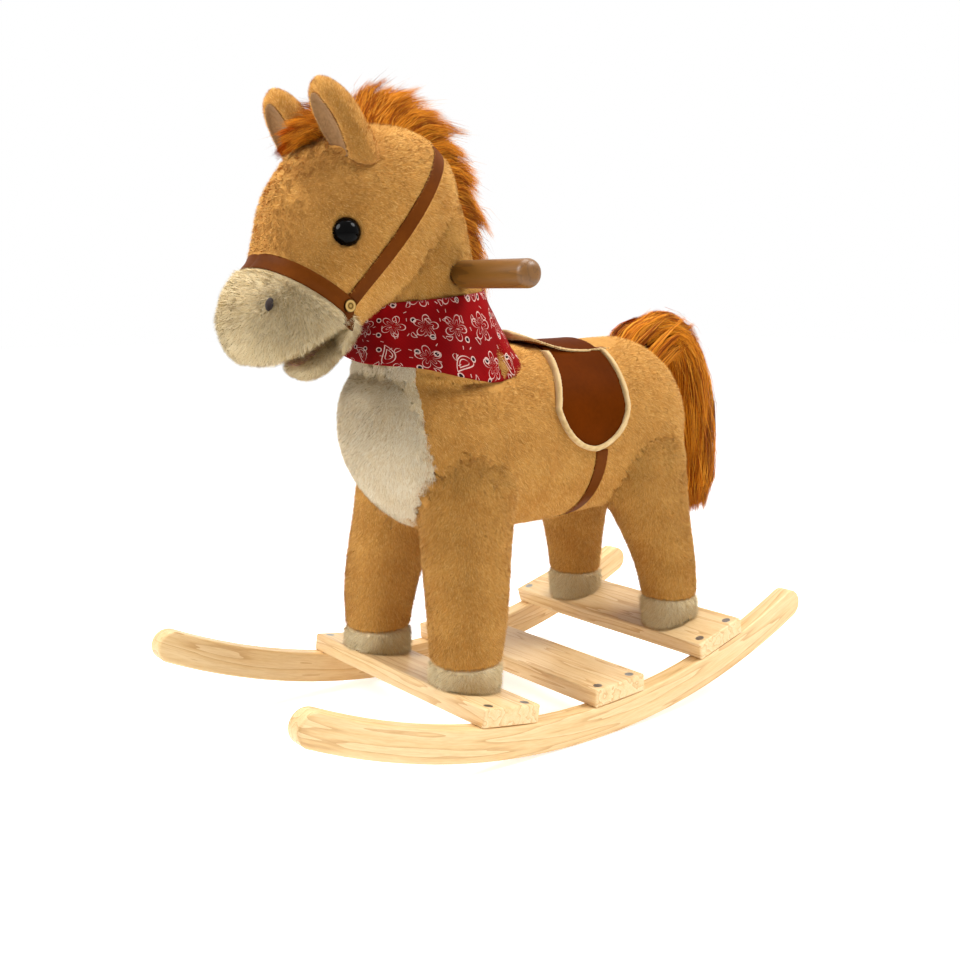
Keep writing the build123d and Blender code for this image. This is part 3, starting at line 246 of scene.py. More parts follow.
def bandana_print(name):
    """Printed red cotton: matt, with outlined flowers, drops, rings and dashes, worn thin in places.

    The UV map is in mm, so sizes here are mm too."""
    material, tree, shader, place = start(name)
    flat = put(tree, "UVMap", {}, "UV", uv_map="cloth")

    def both(first, second):
        return put(tree, "Math", {0: first, 1: second}, operation="MULTIPLY")

    def either(first, second):
        return put(tree, "Math", {0: first, 1: second}, operation="MAXIMUM")

    def below(value, limit):
        return put(tree, "Math", {0: value, 1: limit}, operation="LESS_THAN")

    def line(value, target, width):
        return put(tree, "Math", {0: value, 1: target, 2: width}, operation="COMPARE")

    def cell(pitch, shift):
        """Place in its cell, turned at random, as a vector and as parts, with the cell's chance number."""
        share = (1 / pitch, 1 / pitch, 0)
        moved = (shift / pitch, 0.7 * shift / pitch, 0)
        scaled = put(tree, "Mapping", {"Vector": flat, "Location": moved, "Scale": share})
        corner = put(tree, "VectorMath", {0: scaled}, operation="FLOOR")
        chance = put(tree, "TexWhiteNoise", {"Vector": corner}, "Color", noise_dimensions="2D")
        chance = put(tree, "SeparateXYZ", {"Vector": chance}).node.outputs
        rest = put(tree, "VectorMath", {0: scaled}, operation="FRACTION")
        middle = (-0.5 * pitch, -0.5 * pitch, 0)
        rest = put(tree, "Mapping", {"Vector": rest, "Location": middle, "Scale": (pitch, pitch, 0)})
        stray = put(tree, "MapRange", {"Value": chance["Y"], "To Min": -0.1 * pitch, "To Max": 0.1 * pitch})
        stray = put(tree, "CombineXYZ", {"X": stray})
        rest = put(tree, "VectorMath", {0: rest, 1: stray}, operation="ADD")
        angle = put(tree, "Math", {0: chance["X"], 1: 6.28}, operation="MULTIPLY")
        spot = put(tree, "VectorRotate", {"Vector": rest, "Angle": angle}, rotation_type="Z_AXIS")
        return spot, put(tree, "SeparateXYZ", {"Vector": spot}).node.outputs, chance["Y"]

    def flower(spot, parts, petals, size, width):
        """Outlined petals with a second, narrower outline inside."""
        reach = put(tree, "VectorMath", {0: spot}, "Value", operation="LENGTH")
        angle = put(tree, "Math", {0: parts["Y"], 1: parts["X"]}, operation="ARCTAN2")
        angle = put(tree, "Math", {0: angle, 1: petals / 2}, operation="MULTIPLY")
        wave = put(tree, "Math", {0: angle}, operation="COSINE")
        wave = put(tree, "Math", {0: wave}, operation="ABSOLUTE")
        marks = []
        for power, share, weight in ((0.55, 1.0, 1.0), (2.2, 0.62, 0.6)):
            petal = put(tree, "Math", {0: wave, 1: power}, operation="POWER")
            marks.append(line(reach, both(petal, share * size), weight * width))
        return either(marks[0], both(marks[1], below(0.25 * size, reach)))

    def drop(parts, size, width):
        """An outlined drop with its tail bent to one side."""
        bend = both(both(parts["Y"], parts["Y"]), 0.35 / size)
        bent = put(tree, "Math", {0: parts["X"], 1: bend}, operation="ADD")
        bent = put(tree, "Math", {0: bent}, operation="ABSOLUTE")
        inputs = {"Value": parts["Y"], "From Min": -size, "From Max": size}
        height = put(tree, "MapRange", inputs, clamp=False)
        safe = either(height, 0.0)
        root = put(tree, "Math", {0: safe}, operation="SQRT")
        left = put(tree, "Math", {0: 1.0, 1: safe}, operation="SUBTRACT")
        half = both(both(root, left), 1.35 * size)
        return both(line(bent, half, width), both(below(0.0, height), below(height, 1.0)))

    spot, parts, chance = cell(33.0, 4.0)
    flowers = both(flower(spot, parts, 5, 12.5, 0.5), below(chance, 0.62))
    drops = both(either(drop(parts, 11.0, 0.5), drop(parts, 6.0, 0.4)), below(0.62, chance))
    spot, parts, chance = cell(17.5, 11.0)
    reach = put(tree, "VectorMath", {0: spot}, "Value", operation="LENGTH")
    with_ring = below(chance, 0.38)
    rings = both(line(reach, 2.4, 0.55), with_ring)
    dots = both(below(reach, 2.4 - 0.55), with_ring)
    small_drops = both(drop(parts, 3.6, 0.35), below(0.45, chance))
    spot, parts, chance = cell(8.5, 2.0)
    dashes = both(line(parts["X"], 0.0, 0.35), both(line(parts["Y"], 0.0, 1.7), below(chance, 0.35)))
    ink = either(either(either(flowers, drops), either(small_drops, rings)), dashes)
    worn = put(tree, "TexNoise", {"Vector": flat, "Scale": 0.35, **FINE}, "Fac")
    worn = put(tree, "MapRange", {"Value": worn, "To Min": 0.4, "To Max": 1.0})
    wave = {"Vector": flat, "Scale": 0.16, "Distortion": 0.4}
    threads = put(tree, "TexWave", wave, "Fac", bands_direction="DIAGONAL")
    shade = put(tree, "TexNoise", {"Vector": place, "Scale": 1000 / 33.3, **SOFT}, "Fac")
    shade_stops = [(0.3, "#700104"), (0.7, "#8a0306")]
    colour = two_layers(tree, 0.15, shade, shade_stops, threads, [(0.2, "#640103"), (0.8, "#900508")])
    for mask, code in ((dots, "#1d0d14"), (both(ink, worn), "#e2c8bc")):
        colour = put(tree, "Mix", {0: mask, 6: colour, 7: rgb(code)}, 2, data_type="RGBA")
    feed(tree, shader, {
        "Base Color": colour,
        "Roughness": put(tree, "MapRange", {"Value": shade, "To Min": 0.78, "To Max": 0.95}),
        "Specular IOR Level": 0.08,
        "Normal": put(tree, "Bump", {"Height": threads, "Strength": 0.25, "Distance": 0.2 * MM}),
    })
    return material


TAN = pile_shades("tan", ["#dea858", "#d39a4b", "#c78c3e", "#e7b76b", "#b97c33"])
CREAM = pile_shades("cream", ["#f3e4c6", "#ebd8b4", "#f9efd8", "#dfc89f"])
BUFF = pile_shades("buff", ["#f5e0b2", "#edd4a0", "#faeac6", "#e0c48e"])
RUST = pile_shades("rust", ["#e08a1c", "#cf7412", "#ee9f34", "#b25e08", "#8e4204"], 0.04)
TAN_BACKING = backing("tan_backing", "#cf9850", "#b07c3c")
CREAM_BACKING = backing("cream_backing", "#e4d0a8", "#c8ae80")
# The mane's and tail's core is a much darker rust than their strands: painted shade deep inside the hair
RUST_CORE_PAINTED_SHADE = backing("rust_core_painted_shade", "#8c4006", "#562302", 6.0)
# The ear linings' grey-tan knit is darkened with painted shade for the hollows of the ears
EAR_LINING_PAINTED_SHADE = backing("ear_lining_painted_shade", "#98744e", "#785838", 3.0)
MOUTH = cloth("mouth_cloth", "#b8877a", "#946458", 1.0)
FELT = cloth("dark_felt", "#3a2c28", "#1f1614", 1.2)
BINDING = cloth("binding_cloth", "#dcbf8c", "#bf9c64", 0.8)
# The seat's leather is painted lighter than the flaps' leather, for the light that falls on its top
PAINTED_LIT_SEAT_LEATHER = leather("saddle_leather_painted_lit", "#9c6030", "#8e5426", "#7c461c", 0.06)
FLAP_LEATHER = leather("flap_leather", "#642a02", "#562402", "#481d01", 0.01)
STRAP_LEATHER = leather("strap_leather", "#703a0c", "#602f08", "#4c2406", 0.03)
COTTON = bandana_print("bandana_cotton")
ROCKER_BEND_HEIGHT = 0.735
BENT_PINE = wood("bent_pine", "#f0d09a", "#e6bf82", "#cb9a5c", 0.42, 0.15, bend_height=ROCKER_BEND_HEIGHT)
STUD_BRASS = stud("stud_brass", 0.214, 0.424, 5.5)
SLOT_FINISH = {
    "pine": wood("pine_boards", "#f2d3a0", "#e9c48a", "#cf9f62", 0.42, 0.15),
    "beech_handle": wood("varnished_beech", "#7c5016", "#734a13", "#643f0e", 0.36, 0.06),
    "plywood": wood("plywood", "#d9bd92", "#cba876", "#b08a58", 0.6, along=(0.06, 1.0, 1.0)),
    "screw_steel": plain("zinc_steel", "#b9b6ae", "#98958e", 0.32, 1.0),
    "frame_steel": plain("black_paint", "#2a2a2c", "#1c1c1e", 0.4),
    "black_eye": plain("black_eye", "#040303", "#020202", 0.03, gloss=0.06),
    "brass": plain("aged_brass", "#b9955a", "#8f6c38", 0.28, 1.0),
    "white_plastic": plain("white_plastic", "#dedcd6", "#cfccc4", 0.45),
    "grey_plastic": plain("grey_plastic", "#5a5c60", "#4a4c50", 0.5),
    "cell_jacket": plain("cell_jacket", "#3a6a4c", "#2c5a3e", 0.35),
}
NODE_FINISH = {"conchos": STUD_BRASS}
for name, obj in nodes.items():
    finish = BENT_PINE if name.endswith("rocker") else NODE_FINISH.get(name, SLOT_FINISH.get(slots[name]))
    if finish is not None:
        obj.data.materials.clear()
        obj.data.materials.append(finish)


# Meshes
def show(name, mesh, materials, body="horse", stands_for=()):
    """A new piece that rides on a body."""
    obj = bpy.data.objects.new(name, mesh)
    scene.collection.objects.link(obj)
    mesh.materials.clear()
    for material in materials:
        mesh.materials.append(material)
    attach(obj, body)
    if stands_for:
        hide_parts(*stands_for)
    return obj


def worked(mesh, *steps):
    """mesh with modifiers applied: (kind, settings) each."""
    obj = bpy.data.objects.new("work", mesh)
    scene.collection.objects.link(obj)
    for kind, settings in steps:
        modifier = obj.modifiers.new(kind, kind)
        for key, value in settings.items():
            setattr(modifier, key, value)
    graph = bpy.context.evaluated_depsgraph_get()
    made = bpy.data.meshes.new_from_object(obj.evaluated_get(graph))
    bpy.data.objects.remove(obj)
    return made


def as_mesh(name, shape):
    """A finished bmesh as a mesh."""
    mesh = bpy.data.meshes.new(name)
    shape.to_mesh(mesh)
    shape.free()
    return mesh


def welded(node):
    """A CAD solid with its doubled points merged."""
    shape = bmesh.new()
    shape.from_mesh(nodes[node].data)
    bmesh.ops.remove_doubles(shape, verts=shape.verts, dist=1e-6)
    return as_mesh("solid", shape)


def joined(group):
    """The CAD solids of a group of nodes in one mesh."""
    shape = bmesh.new()
    for node in group:
        shape.from_mesh(welded(node))
    return as_mesh("joined", shape)


def remeshed(group, voxel, smooth=4):
    """The CAD solids of a group as one even mesh with rounded edges, voxel in mm."""
    remesh = ("REMESH", {"mode": "VOXEL", "voxel_size": voxel * MM, "use_smooth_shade": True})
    return worked(joined(group), remesh, ("SMOOTH", {"factor": 0.5, "iterations": smooth}))


def numbers(mesh):
    """Places, normals and triangles as arrays."""
    count = len(mesh.vertices)
    places = np.empty(count * 3)
    normals = np.empty(count * 3)
    mesh.vertices.foreach_get("co", places)
    mesh.vertices.foreach_get("normal", normals)
    mesh.calc_loop_triangles()
    corners = np.empty(len(mesh.loop_triangles) * 3, np.int32)
    mesh.loop_triangles.foreach_get("vertices", corners)
    return places.reshape(-1, 3), normals.reshape(-1, 3), corners.reshape(-1, 3)


def move_to(mesh, places):
    mesh.vertices.foreach_set("co", places.reshape(-1))
    mesh.update()


def grown(mesh, amount):
    """mesh moved out along its normals by amount in mm."""
    places, normals, _ = numbers(mesh)
    move_to(mesh, places + amount * MM * normals)
    return mesh


def search_tree(meshes):
    places, faces, first = [], [], 0
    for mesh in meshes:
        points, _, corners = numbers(mesh)
        places.extend(points.tolist())
        faces.extend((corners + first).tolist())
        first += len(points)
    return BVHTree.FromPolygons(places, faces)


def solid_tree(names):
    return search_tree([nodes[name].data for name in names])


def unit(vectors):
    return vectors / np.maximum(np.linalg.norm(vectors, axis=1, keepdims=True), 1e-9)


def swell(points, size):
    """Smooth noise from -1 to 1 with waves of about size metres."""
    x, y, z = 6.28 / size * points.T
    waves = (
        np.sin(x + 1.3 * np.sin(0.7 * y + 0.4)),
        np.sin(0.9 * y + 1.1 * np.sin(0.8 * z)),
        np.sin(1.1 * z + 1.2 * np.sin(0.6 * x + 2.0)),
    )
    return sum(waves) / 3


# How far each strand turns about its length, and its shading strays from the skin's, at random
TWIST, GLINT = 0.35, 0.14


def ribbons(name, lines, widths, facing, shades, materials, body):
    """A mesh of tapered strands. lines is (strand, point, 3), widths one for each point but the tip."""
    count, steps, _ = lines.shape
    along = unit(lines[:, -1] - lines[:, 0])
    across = unit(np.cross(along, facing) + TWIST * rng.normal(size=(count, 3)))
    sides = across[:, None, :] * widths[None, :, None] / 2
    left, right = lines[:, :-1] - sides, lines[:, :-1] + sides
    rings = np.stack([left, right], axis=2).reshape(count, -1, 3)
    points = np.concatenate([rings, lines[:, -1:]], axis=1)
    per = points.shape[1]
    faces = []
    for a in range(0, 2 * steps - 4, 2):
        faces += [(a, a + 1, a + 3), (a, a + 3, a + 2)]
    faces.append((per - 3, per - 2, per - 1))
    corners = (np.arange(count)[:, None, None] * per + np.array(faces)[None]).reshape(-1)
    total = count * len(faces)
    mesh = bpy.data.meshes.new(name)
    mesh.vertices.add(count * per)
    mesh.vertices.foreach_set("co", points.reshape(-1))
    mesh.loops.add(3 * total)
    mesh.loops.foreach_set("vertex_index", corners.astype(np.int32))
    mesh.polygons.add(total)
    mesh.polygons.foreach_set("loop_start", np.arange(0, 3 * total, 3, dtype=np.int32))
    mesh.polygons.foreach_set("use_smooth", np.ones(total, bool))
    mesh.update()
    lit = unit(facing + GLINT * rng.normal(size=(count, 3)))
    mesh.normals_split_custom_set_from_vertices(np.repeat(lit, per, axis=0))
    obj = show(name, mesh, materials, body)
    mesh.polygons.foreach_set("material_index", np.repeat(shades, len(faces)).astype(np.int32))
    return obj


# Fur: where it grows
LEGS = tuple(f"{end}_{side}_leg_plush" for end in ("front", "rear") for side in ("left", "right"))
HOOVES = ("front_hooves", "rear_hooves")
EARS = ("left_ear", "right_ear")
PLUSH = (
    "body_plush", "chest_panel", "neck_plush", "head_plush", "muzzle_plush", "jaw_plush",
    *LEGS, *HOOVES, *EARS,
)
FIRM = ("front_plank", "rear_plank", "left_eye", "right_eye", "left_handle", "right_handle")
COVERS = (
    "saddle_flaps", "saddle_seat", "saddle_piping", "girth_strap", "noseband",
    "headstall", "bandana", "conchos", "ear_linings",
)
cover_tree = solid_tree(COVERS)


# What hides the pile is looked for along each normal: a neighbour round it and its own far side from just
# outside, a cover from inside the skin
NEIGHBOUR_START, HOLLOW_START, COVER_START, COVER_REACH = 2.5 * MM, 1.0 * MM, -3.0 * MM, 12 * MM


def showing(node, mesh, reach):
    """For each vertex: 1 where the pile is open to view, 0 under a cover, in a hollow or in a neighbour."""
    own = search_tree([mesh])
    others = solid_tree([n for n in PLUSH + FIRM if n != node])
    state = np.ones(len(mesh.vertices))
    for i, vertex in enumerate(mesh.vertices):
        place, normal = vertex.co, vertex.normal
        _, facing, _, _ = others.ray_cast(place + NEIGHBOUR_START * normal, normal)
        inside = facing is not None and facing.dot(normal) > 0
        hollow = own.ray_cast(place + HOLLOW_START * normal, normal, reach)[0] is not None
        covered = cover_tree.ray_cast(place + COVER_START * normal, normal, COVER_REACH)[0] is not None
        if inside or hollow or covered:
            state[i] = 0.0
    return state


def scattered(mesh, weight, count):
    """count places and normals on the mesh, by area and weight."""
    places, normals, corners = numbers(mesh)
    a, b, c = (places[corners[:, i]] for i in range(3))
    share = np.linalg.norm(np.cross(b - a, c - a), axis=1) * weight[corners].min(axis=1)
    chosen = np.searchsorted(np.cumsum(share) / share.sum(), rng.random(count))
    u, v = rng.random((2, count, 1))
    flip = u + v > 1
    u, v = np.where(flip, 1 - u, u), np.where(flip, 1 - v, v)
    picked = corners[np.minimum(chosen, len(corners) - 1)]
    mixed = [
        (1 - u - v) * field[picked[:, 0]] + u * field[picked[:, 1]] + v * field[picked[:, 2]]
        for field in (places, normals)
    ]
    return mixed[0], unit(mixed[1])


# Fur: seams, as (place, normal, half width in mm), and the cream front of the neck
BODY_SEAMS = (
    ((-0.004, 0.0, 0.3), (0.995, 0.0, 0.1), 2.6),
    ((0.0665, 0.0, 0.3284), (0.819, 0.0, 0.574), 2.0),
)
HEAD_SEAM = ((0.0, 0.0, 0.5), (0.0, 1.0, 0.0), 2.2)
CREAM_FRONT = 0.14
CREAM_TOP = 0.395


def past_seam(points):
    """Whether each point is on the cream side of the chest's seam."""
    return (points[:, 0] > CREAM_FRONT) & (points[:, 2] < CREAM_TOP)


# Short pile: whorls in its comb, tufts and tones, as (size in m, amount), then how far each strand strays,
# then, as shares of the length, the shortest one, their variety and what a seam leaves, and the roots' depth
WHORLS = ((0.06, 0.35), (0.011, 0.3))
TUFTS, TONES = (0.025, 0.16), (0.05, 0.25)
STRAY, SHORTEST, VARIES, IN_SEAM = 0.13, 0.75, 0.4, 0.2
ROOT_DEPTH = 0.4 * MM


def coat(name, mesh, state, strands, shades, body, slot, seamed):
    """Short pile. strands is count, length and width in mm, lift, comb direction and seams."""
    count, length, width, lift, comb, parts = strands
    spots, facing = scattered(mesh, state + 1e-6, count)
    flow = np.array(comb)
    for size, amount in WHORLS:
        flow = flow + amount * np.stack([swell(spots + 0.3 * i, size) for i in range(3)], axis=1)
    flow = unit(flow - (flow * facing).sum(1, keepdims=True) * facing)
    heading = unit(lift * facing + (1 - lift) * flow + STRAY * rng.normal(size=(count, 3)))
    long = length * MM * (SHORTEST + VARIES * rng.random(count)) * (1 + TUFTS[1] * swell(spots, TUFTS[0]))
    seam_shade = np.zeros(count, bool)
    for place, normal, half in parts:
        off = np.abs((spots - np.array(place)) @ np.array(normal)) / (half * MM)
        long *= IN_SEAM + (1 - IN_SEAM) * np.clip(off, 0, 1)
        seam_shade |= off < 0.5
    lines = np.stack([spots - ROOT_DEPTH * facing, spots + long[:, None] * heading], axis=1)
    tones = len(shades)
    pick = rng.random(count) + TONES[1] * swell(spots, TONES[0])
    tone = np.clip((pick * tones).astype(int), 0, tones - 1)
    # Strands in the middle of a seam take the darkest tone: painted shade in the seam's crease
    tone[seam_shade] = tones - 1
    if seamed:
        tone = np.where(past_seam(spots), tones + tone % len(CREAM), tone)
        shades = shades + CREAM
    return ribbons(name, lines, np.array([width * MM]), facing, tone, shades, body)


# Fur: the stuffing's own shape. Sewn pieces round the corner between them, but behind the chest the bandana
# covers the neck's foot (ahead of x, between two heights), which stays as it is
SEWN = (("body_plush", "chest_panel", "neck_plush", *LEGS), ("head_plush", "neck_plush"))
JOIN_FILL = 20.0
JOIN_SMOOTHING = 40
NECK_FOOT = (0.1, 0.33, 0.45)
BROW_CENTRE, BROW_MOVE, BROW_SIZE = (0.25, 0.0, 0.512), (8.0, 0.0, 3.0), 0.04
EAR_FULLNESS = 1.15
filled_trees = [search_tree([remeshed(group, 3.0, JOIN_SMOOTHING)]) for group in SEWN]


def fill_joins(mesh, filled_tree):
    """Moves each point out to the filled skin where that lies above it."""
    front, low, high = NECK_FOOT
    for vertex in mesh.vertices:
        if vertex.co.x < front and low < vertex.co.z < high:
            continue
        above = vertex.co + 0.3 * MM * vertex.normal
        hit, _, _, _ = filled_tree.ray_cast(above, vertex.normal, JOIN_FILL * MM)
        if hit is not None:
            vertex.co = hit
    mesh.update()


def raise_brow(mesh):
    """The forehead's round swelling."""
    places = numbers(mesh)[0]
    off = np.linalg.norm(places - np.array(BROW_CENTRE), axis=1) / BROW_SIZE
    move_to(mesh, places + MM * np.exp(-off ** 2)[:, None] * np.array(BROW_MOVE))


def fill_ear(mesh):
    """Thickens each ear across its length."""
    places = numbers(mesh)[0]
    for side, node in zip((1, -1), EARS, strict=True):
        middle = np.array(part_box(node)).mean(axis=0)[:2]
        own = places[:, 1] * side > 0
        places[own, :2] = middle + EAR_FULLNESS * (places[own, :2] - middle)
    move_to(mesh, places)


def stuffed_skin(node, voxel):
    mesh = remeshed([node], voxel)
    for group, tree in zip(SEWN, filled_trees, strict=True):
        if node in group and node != "chest_panel":
            fill_joins(mesh, tree)
    if node == "head_plush":
        raise_brow(mesh)
    if node in EARS:
        fill_ear(mesh)
    return mesh


# node: body, voxel in mm, hollow's reach in m, and its strands as coat takes them
DOWN = (0, 0, -1)
COATS = {
    "body_plush": ("horse", 3.0, 0.09, (182000, 4.4, 0.46, 0.42, (-0.5, 0, -0.85), BODY_SEAMS)),
    "neck_plush": ("horse", 3.0, 0.09, (80000, 4.4, 0.46, 0.42, (-0.4, 0, -0.9), ())),
    "head_plush": ("horse", 3.0, 0.03, (128000, 4.0, 0.44, 0.45, (-0.6, 0, -0.6), (HEAD_SEAM,))),
    "front_left_leg_plush": ("horse", 3.0, 0.06, (75000, 4.2, 0.44, 0.42, DOWN, ())),
    "front_right_leg_plush": ("horse", 3.0, 0.06, (46000, 4.2, 0.44, 0.42, DOWN, ())),
    "rear_left_leg_plush": ("horse", 3.0, 0.06, (75000, 4.2, 0.44, 0.42, DOWN, ())),
    "rear_right_leg_plush": ("horse", 3.0, 0.06, (46000, 4.2, 0.44, 0.42, DOWN, ())),
    "left_ear": ("horse", 1.6, 0.006, (20000, 3.0, 0.36, 0.45, (0.4, 0, 0.9), ())),
    "right_ear": ("horse", 1.6, 0.006, (20000, 3.0, 0.36, 0.45, (0.4, 0, 0.9), ())),
    "chest_panel": ("horse", 2.5, 0.09, (50000, 5.0, 0.44, 0.42, (0.1, 0, -1), ())),
    "muzzle_plush": ("horse", 2.5, 0.02, (70000, 7.0, 0.44, 0.6, (0.2, 0, -0.9), ())),
    "jaw_plush": ("jaw", 2.0, 0.02, (24000, 6.0, 0.44, 0.6, (0.5, 0, -0.8), ())),
    "front_hooves": ("horse", 2.5, 0.06, (30000, 7.0, 0.44, 0.5, DOWN, ())),
    "rear_hooves": ("horse", 2.5, 0.06, (30000, 7.0, 0.44, 0.5, DOWN, ())),
}
PALE = {"chest_panel": CREAM, **dict.fromkeys(("muzzle_plush", "jaw_plush", *HOOVES), BUFF)}
SEAMED = ("neck_plush", "body_plush")
for node, (body, voxel, reach, strands) in COATS.items():
    mesh = stuffed_skin(node, voxel)
    state = showing(node, mesh, reach)
    knit = CREAM_BACKING if node in PALE else TAN_BACKING
    skin = show(f"{node}_skin", mesh, [knit], body, [node])
    if node in SEAMED:
        mesh.materials.append(CREAM_BACKING)
        middles = np.empty(3 * len(mesh.polygons))
        mesh.polygons.foreach_get("center", middles)
        mesh.polygons.foreach_set("material_index", past_seam(middles.reshape(-1, 3)).astype(np.int32))
    shades = PALE.get(node, TAN)
    coat(f"{node}_pile", mesh, state, strands, shades, body, slots[node], node in SEAMED)


# Long pile, along rows of sections: x, z, lean in degrees, then reach up, down and sideways, in mm
MANE = [
    (36, 434, -100, 8, 12, 7), (43, 470, -95, 16, 22, 12), (56, 515, -72, 17, 24, 15),
    (78, 552, -50, 17, 24, 17), (108, 578, -22, 18, 24, 18), (142, 591, 2, 18, 24, 19),
    (178, 589, 18, 16, 22, 20), (206, 578, 36, 13, 18, 20), (222, 567, 48, 8, 8, 12),
]
MANE_TOP = 0.638
FORELOCK = 0.74
TAIL = [
    (-210, 377, -137, 9, 20, 16), (-222, 387, -146, 14, 20, 19), (-240, 392, -176, 16, 18, 22),
    (-261, 383, -212, 23, 20, 25), (-280, 355, -243, 28, 22, 28), (-290, 306, -259, 30, 24, 30),
    (-296, 256, -263, 28, 23, 29), (-301, 214, -265, 25, 20, 25), (-304, 198, -265, 19, 15, 18),
]
WILD = 0.07


def spine(sections, at):
    """Points, up directions and radii at shares of a row of sections, in metres."""
    rows = np.array(sections, float)
    rows[:, 2] = np.unwrap(np.radians(rows[:, 2]))
    ends = np.linspace(0, 1, len(rows))
    x, z, lean, up, down, half = (np.interp(np.clip(at, 0, 1), ends, rows[:, i]) for i in range(6))
    zero = np.zeros_like(x)
    return (
        np.stack([x, zero, z], axis=-1) * MM,
        np.stack([np.sin(lean), zero, np.cos(lean)], axis=-1),
        up * MM, down * MM, half * MM,
    )


def clumped(count, groups):
    """For each strand, its lock's number, and each lock's own random numbers."""
    return rng.integers(0, groups, count), rng.random((groups, 4))


def mane_strands(count, locks):
    """Locks that stand on the crest and lean back, or forward at the brow, and draw together at the tips."""
    which, chance = clumped(count, locks)
    lock = chance[which]
    own_at = lock[:, 0] + 0.02 * rng.normal(size=count)
    side = 2 * lock[:, 1] - 1
    forward = lock[:, 0] > FORELOCK
    sweep = (0.018 + 0.034 * lock[:, 3]) * np.where(forward, 0.6, 1.0)
    tall = 0.8 + 0.95 * lock[:, 2] ** 3 + 0.2 * rng.random(count)
    wild = (rng.random(count) < WILD).astype(float)
    tall = tall * (1 + 0.15 * wild)
    stray = (1.1 + 3.5 * wild)[:, None] * MM * rng.normal(size=(count, 3))
    points = []
    for s in (0.0, 0.35, 0.7, 1.0):
        at = own_at + (lock[:, 0] - own_at) * 0.8 * s
        centre, up, above, below, half = spine(MANE, at)
        back = -unit(np.cross(SIDEWAYS[None], up))
        flow = np.where(forward[:, None], -back, back)
        wide = np.clip(side + (0.4 - 0.3 * s) * rng.normal(size=count), -1, 1) * half * (0.75 + 0.45 * s)
        rise = (0.75 * below + above * tall) * np.sin(1.45 * s) / np.sin(1.45) - 0.75 * below
        lean = (sweep * s * s)[:, None] * flow
        points.append(centre + rise[:, None] * up + lean + wide[:, None] * SIDEWAYS + s * stray)
    lines = np.stack(points, axis=1)
    lines[:, :, 2] = np.minimum(lines[:, :, 2], MANE_TOP)
    return lines, unit(up * 0.5 + np.sign(side + 1e-9)[:, None] * SIDEWAYS), which


def tail_strands(count, locks):
    """Locks that lie along the tail, each ending free at its own distance from the core."""
    which, chance = clumped(count, locks)
    lock = chance[which]
    start_at = np.minimum(0.95 * lock[:, 0] ** 0.8, 0.76) + 0.012 * rng.normal(size=count)
    around = 6.28 * lock[:, 1]
    own = 0.32 * rng.normal(size=count)
    inner = 0.45 + 0.3 * rng.random(count)
    wild = (rng.random(count) < WILD).astype(float)
    outer = 0.84 + 0.42 * lock[:, 2] ** 2 + (0.04 + 0.16 * wild) * rng.normal(size=count)
    run = 0.22 + 0.14 * lock[:, 3] + 0.03 * rng.random(count)
    points = []
    for s in (0.0, 0.25, 0.5, 0.75, 1.0):
        at = start_at + s * run
        centre, up, above, below, half = spine(TAIL, at)
        past = np.maximum(at - 1, 0)[:, None] * np.array([-0.02, 0, -0.2])
        reach = inner + (outer - inner) * np.sin(1.57 * min(1.0, 0.3 + 1.1 * s)) ** 2
        angle = around + own * (1 - 0.75 * s) + 0.15 * s
        tall = np.where(np.sin(angle) > 0, above, below) + 1 * MM
        across = (reach * np.cos(angle) * half)[:, None] * SIDEWAYS
        points.append(centre + past + across + (reach * np.sin(angle) * tall)[:, None] * up)
    _, up, _, _, _ = spine(TAIL, start_at + 0.5 * run)
    facing = unit(np.cos(around)[:, None] * SIDEWAYS + np.sin(around)[:, None] * up)
    return np.stack(points, axis=1), facing, which


def tuft_strands(count, locks):
    """Locks from the top of the rump that sweep over the tail's root."""
    which, chance = clumped(count, locks)
    lock = chance[which]
    rump = solid_tree(["body_plush"])
    feet = []
    for share, side in chance[:, :2]:
        above = Vector((-0.176 - 0.042 * share, 0.02 * (2 * side - 1), 0.6))
        feet.append(rump.ray_cast(above, Vector(DOWN))[0])
    feet = np.array(feet)[which] + MM * rng.normal(size=(count, 3)) * np.array([2.5, 2.5, 0.3])
    centre, _, above, _, half = spine(TAIL, 0.1 + 0.34 * lock[:, 0] + 0.08 * lock[:, 2])
    aside = (2 * lock[:, 1] - 1) * half
    tips = centre + np.stack([-0.1 * above, aside, above * (0.7 + 0.5 * lock[:, 3])], axis=1)
    tips += 1.2 * MM * rng.normal(size=(count, 3))
    rise = 0.016 + 0.014 * lock[:, 2]
    bend = feet + np.stack([-0.012 - 0.01 * lock[:, 3], 0.3 * aside, rise], axis=1)
    shares = (0.0, 0.25, 0.5, 0.75, 1.0)
    points = [(1 - t) ** 2 * feet + 2 * t * (1 - t) * bend + t * t * tips for t in shares]
    facing = unit(np.stack([0.1 + 0 * rise, 0.6 * np.sign(aside), 1 + 0 * rise], axis=1))
    return np.stack(points, axis=1), facing, which


def long_pile(name, body, maker, count, locks, widths):
    """A piece of long rust strands in locks, each lock with its own tone."""
    lines, facing, which = maker(count, locks)
    tone = rng.random(which.max() + 1)[which] + 0.35 * rng.normal(size=count)
    shades = np.clip((tone * len(RUST)).astype(int), 0, len(RUST) - 1)
    ribbons(name, lines, MM * np.array(widths), facing, shades, RUST, body)


for node, body, maker, count, locks, widths in (
    ("mane", "horse", mane_strands, 38000, 520, (0.5, 0.45, 0.28)),
    ("tail_hair", "tail", tail_strands, 27000, 420, (0.45, 0.55, 0.5, 0.28)),
):
    core = grown(remeshed([node], 2.5, 8), -4.5)
    # The core shows between the strands in its darker rust, as painted shade inside the hair
    base = show(f"{node}_core", core, [RUST_CORE_PAINTED_SHADE], body, [node])
    long_pile(f"{node}_pile", body, maker, count, locks, widths)
long_pile("tail_root_pile", "tail", tuft_strands, 7000, 150, (0.5, 0.55, 0.5, 0.28))

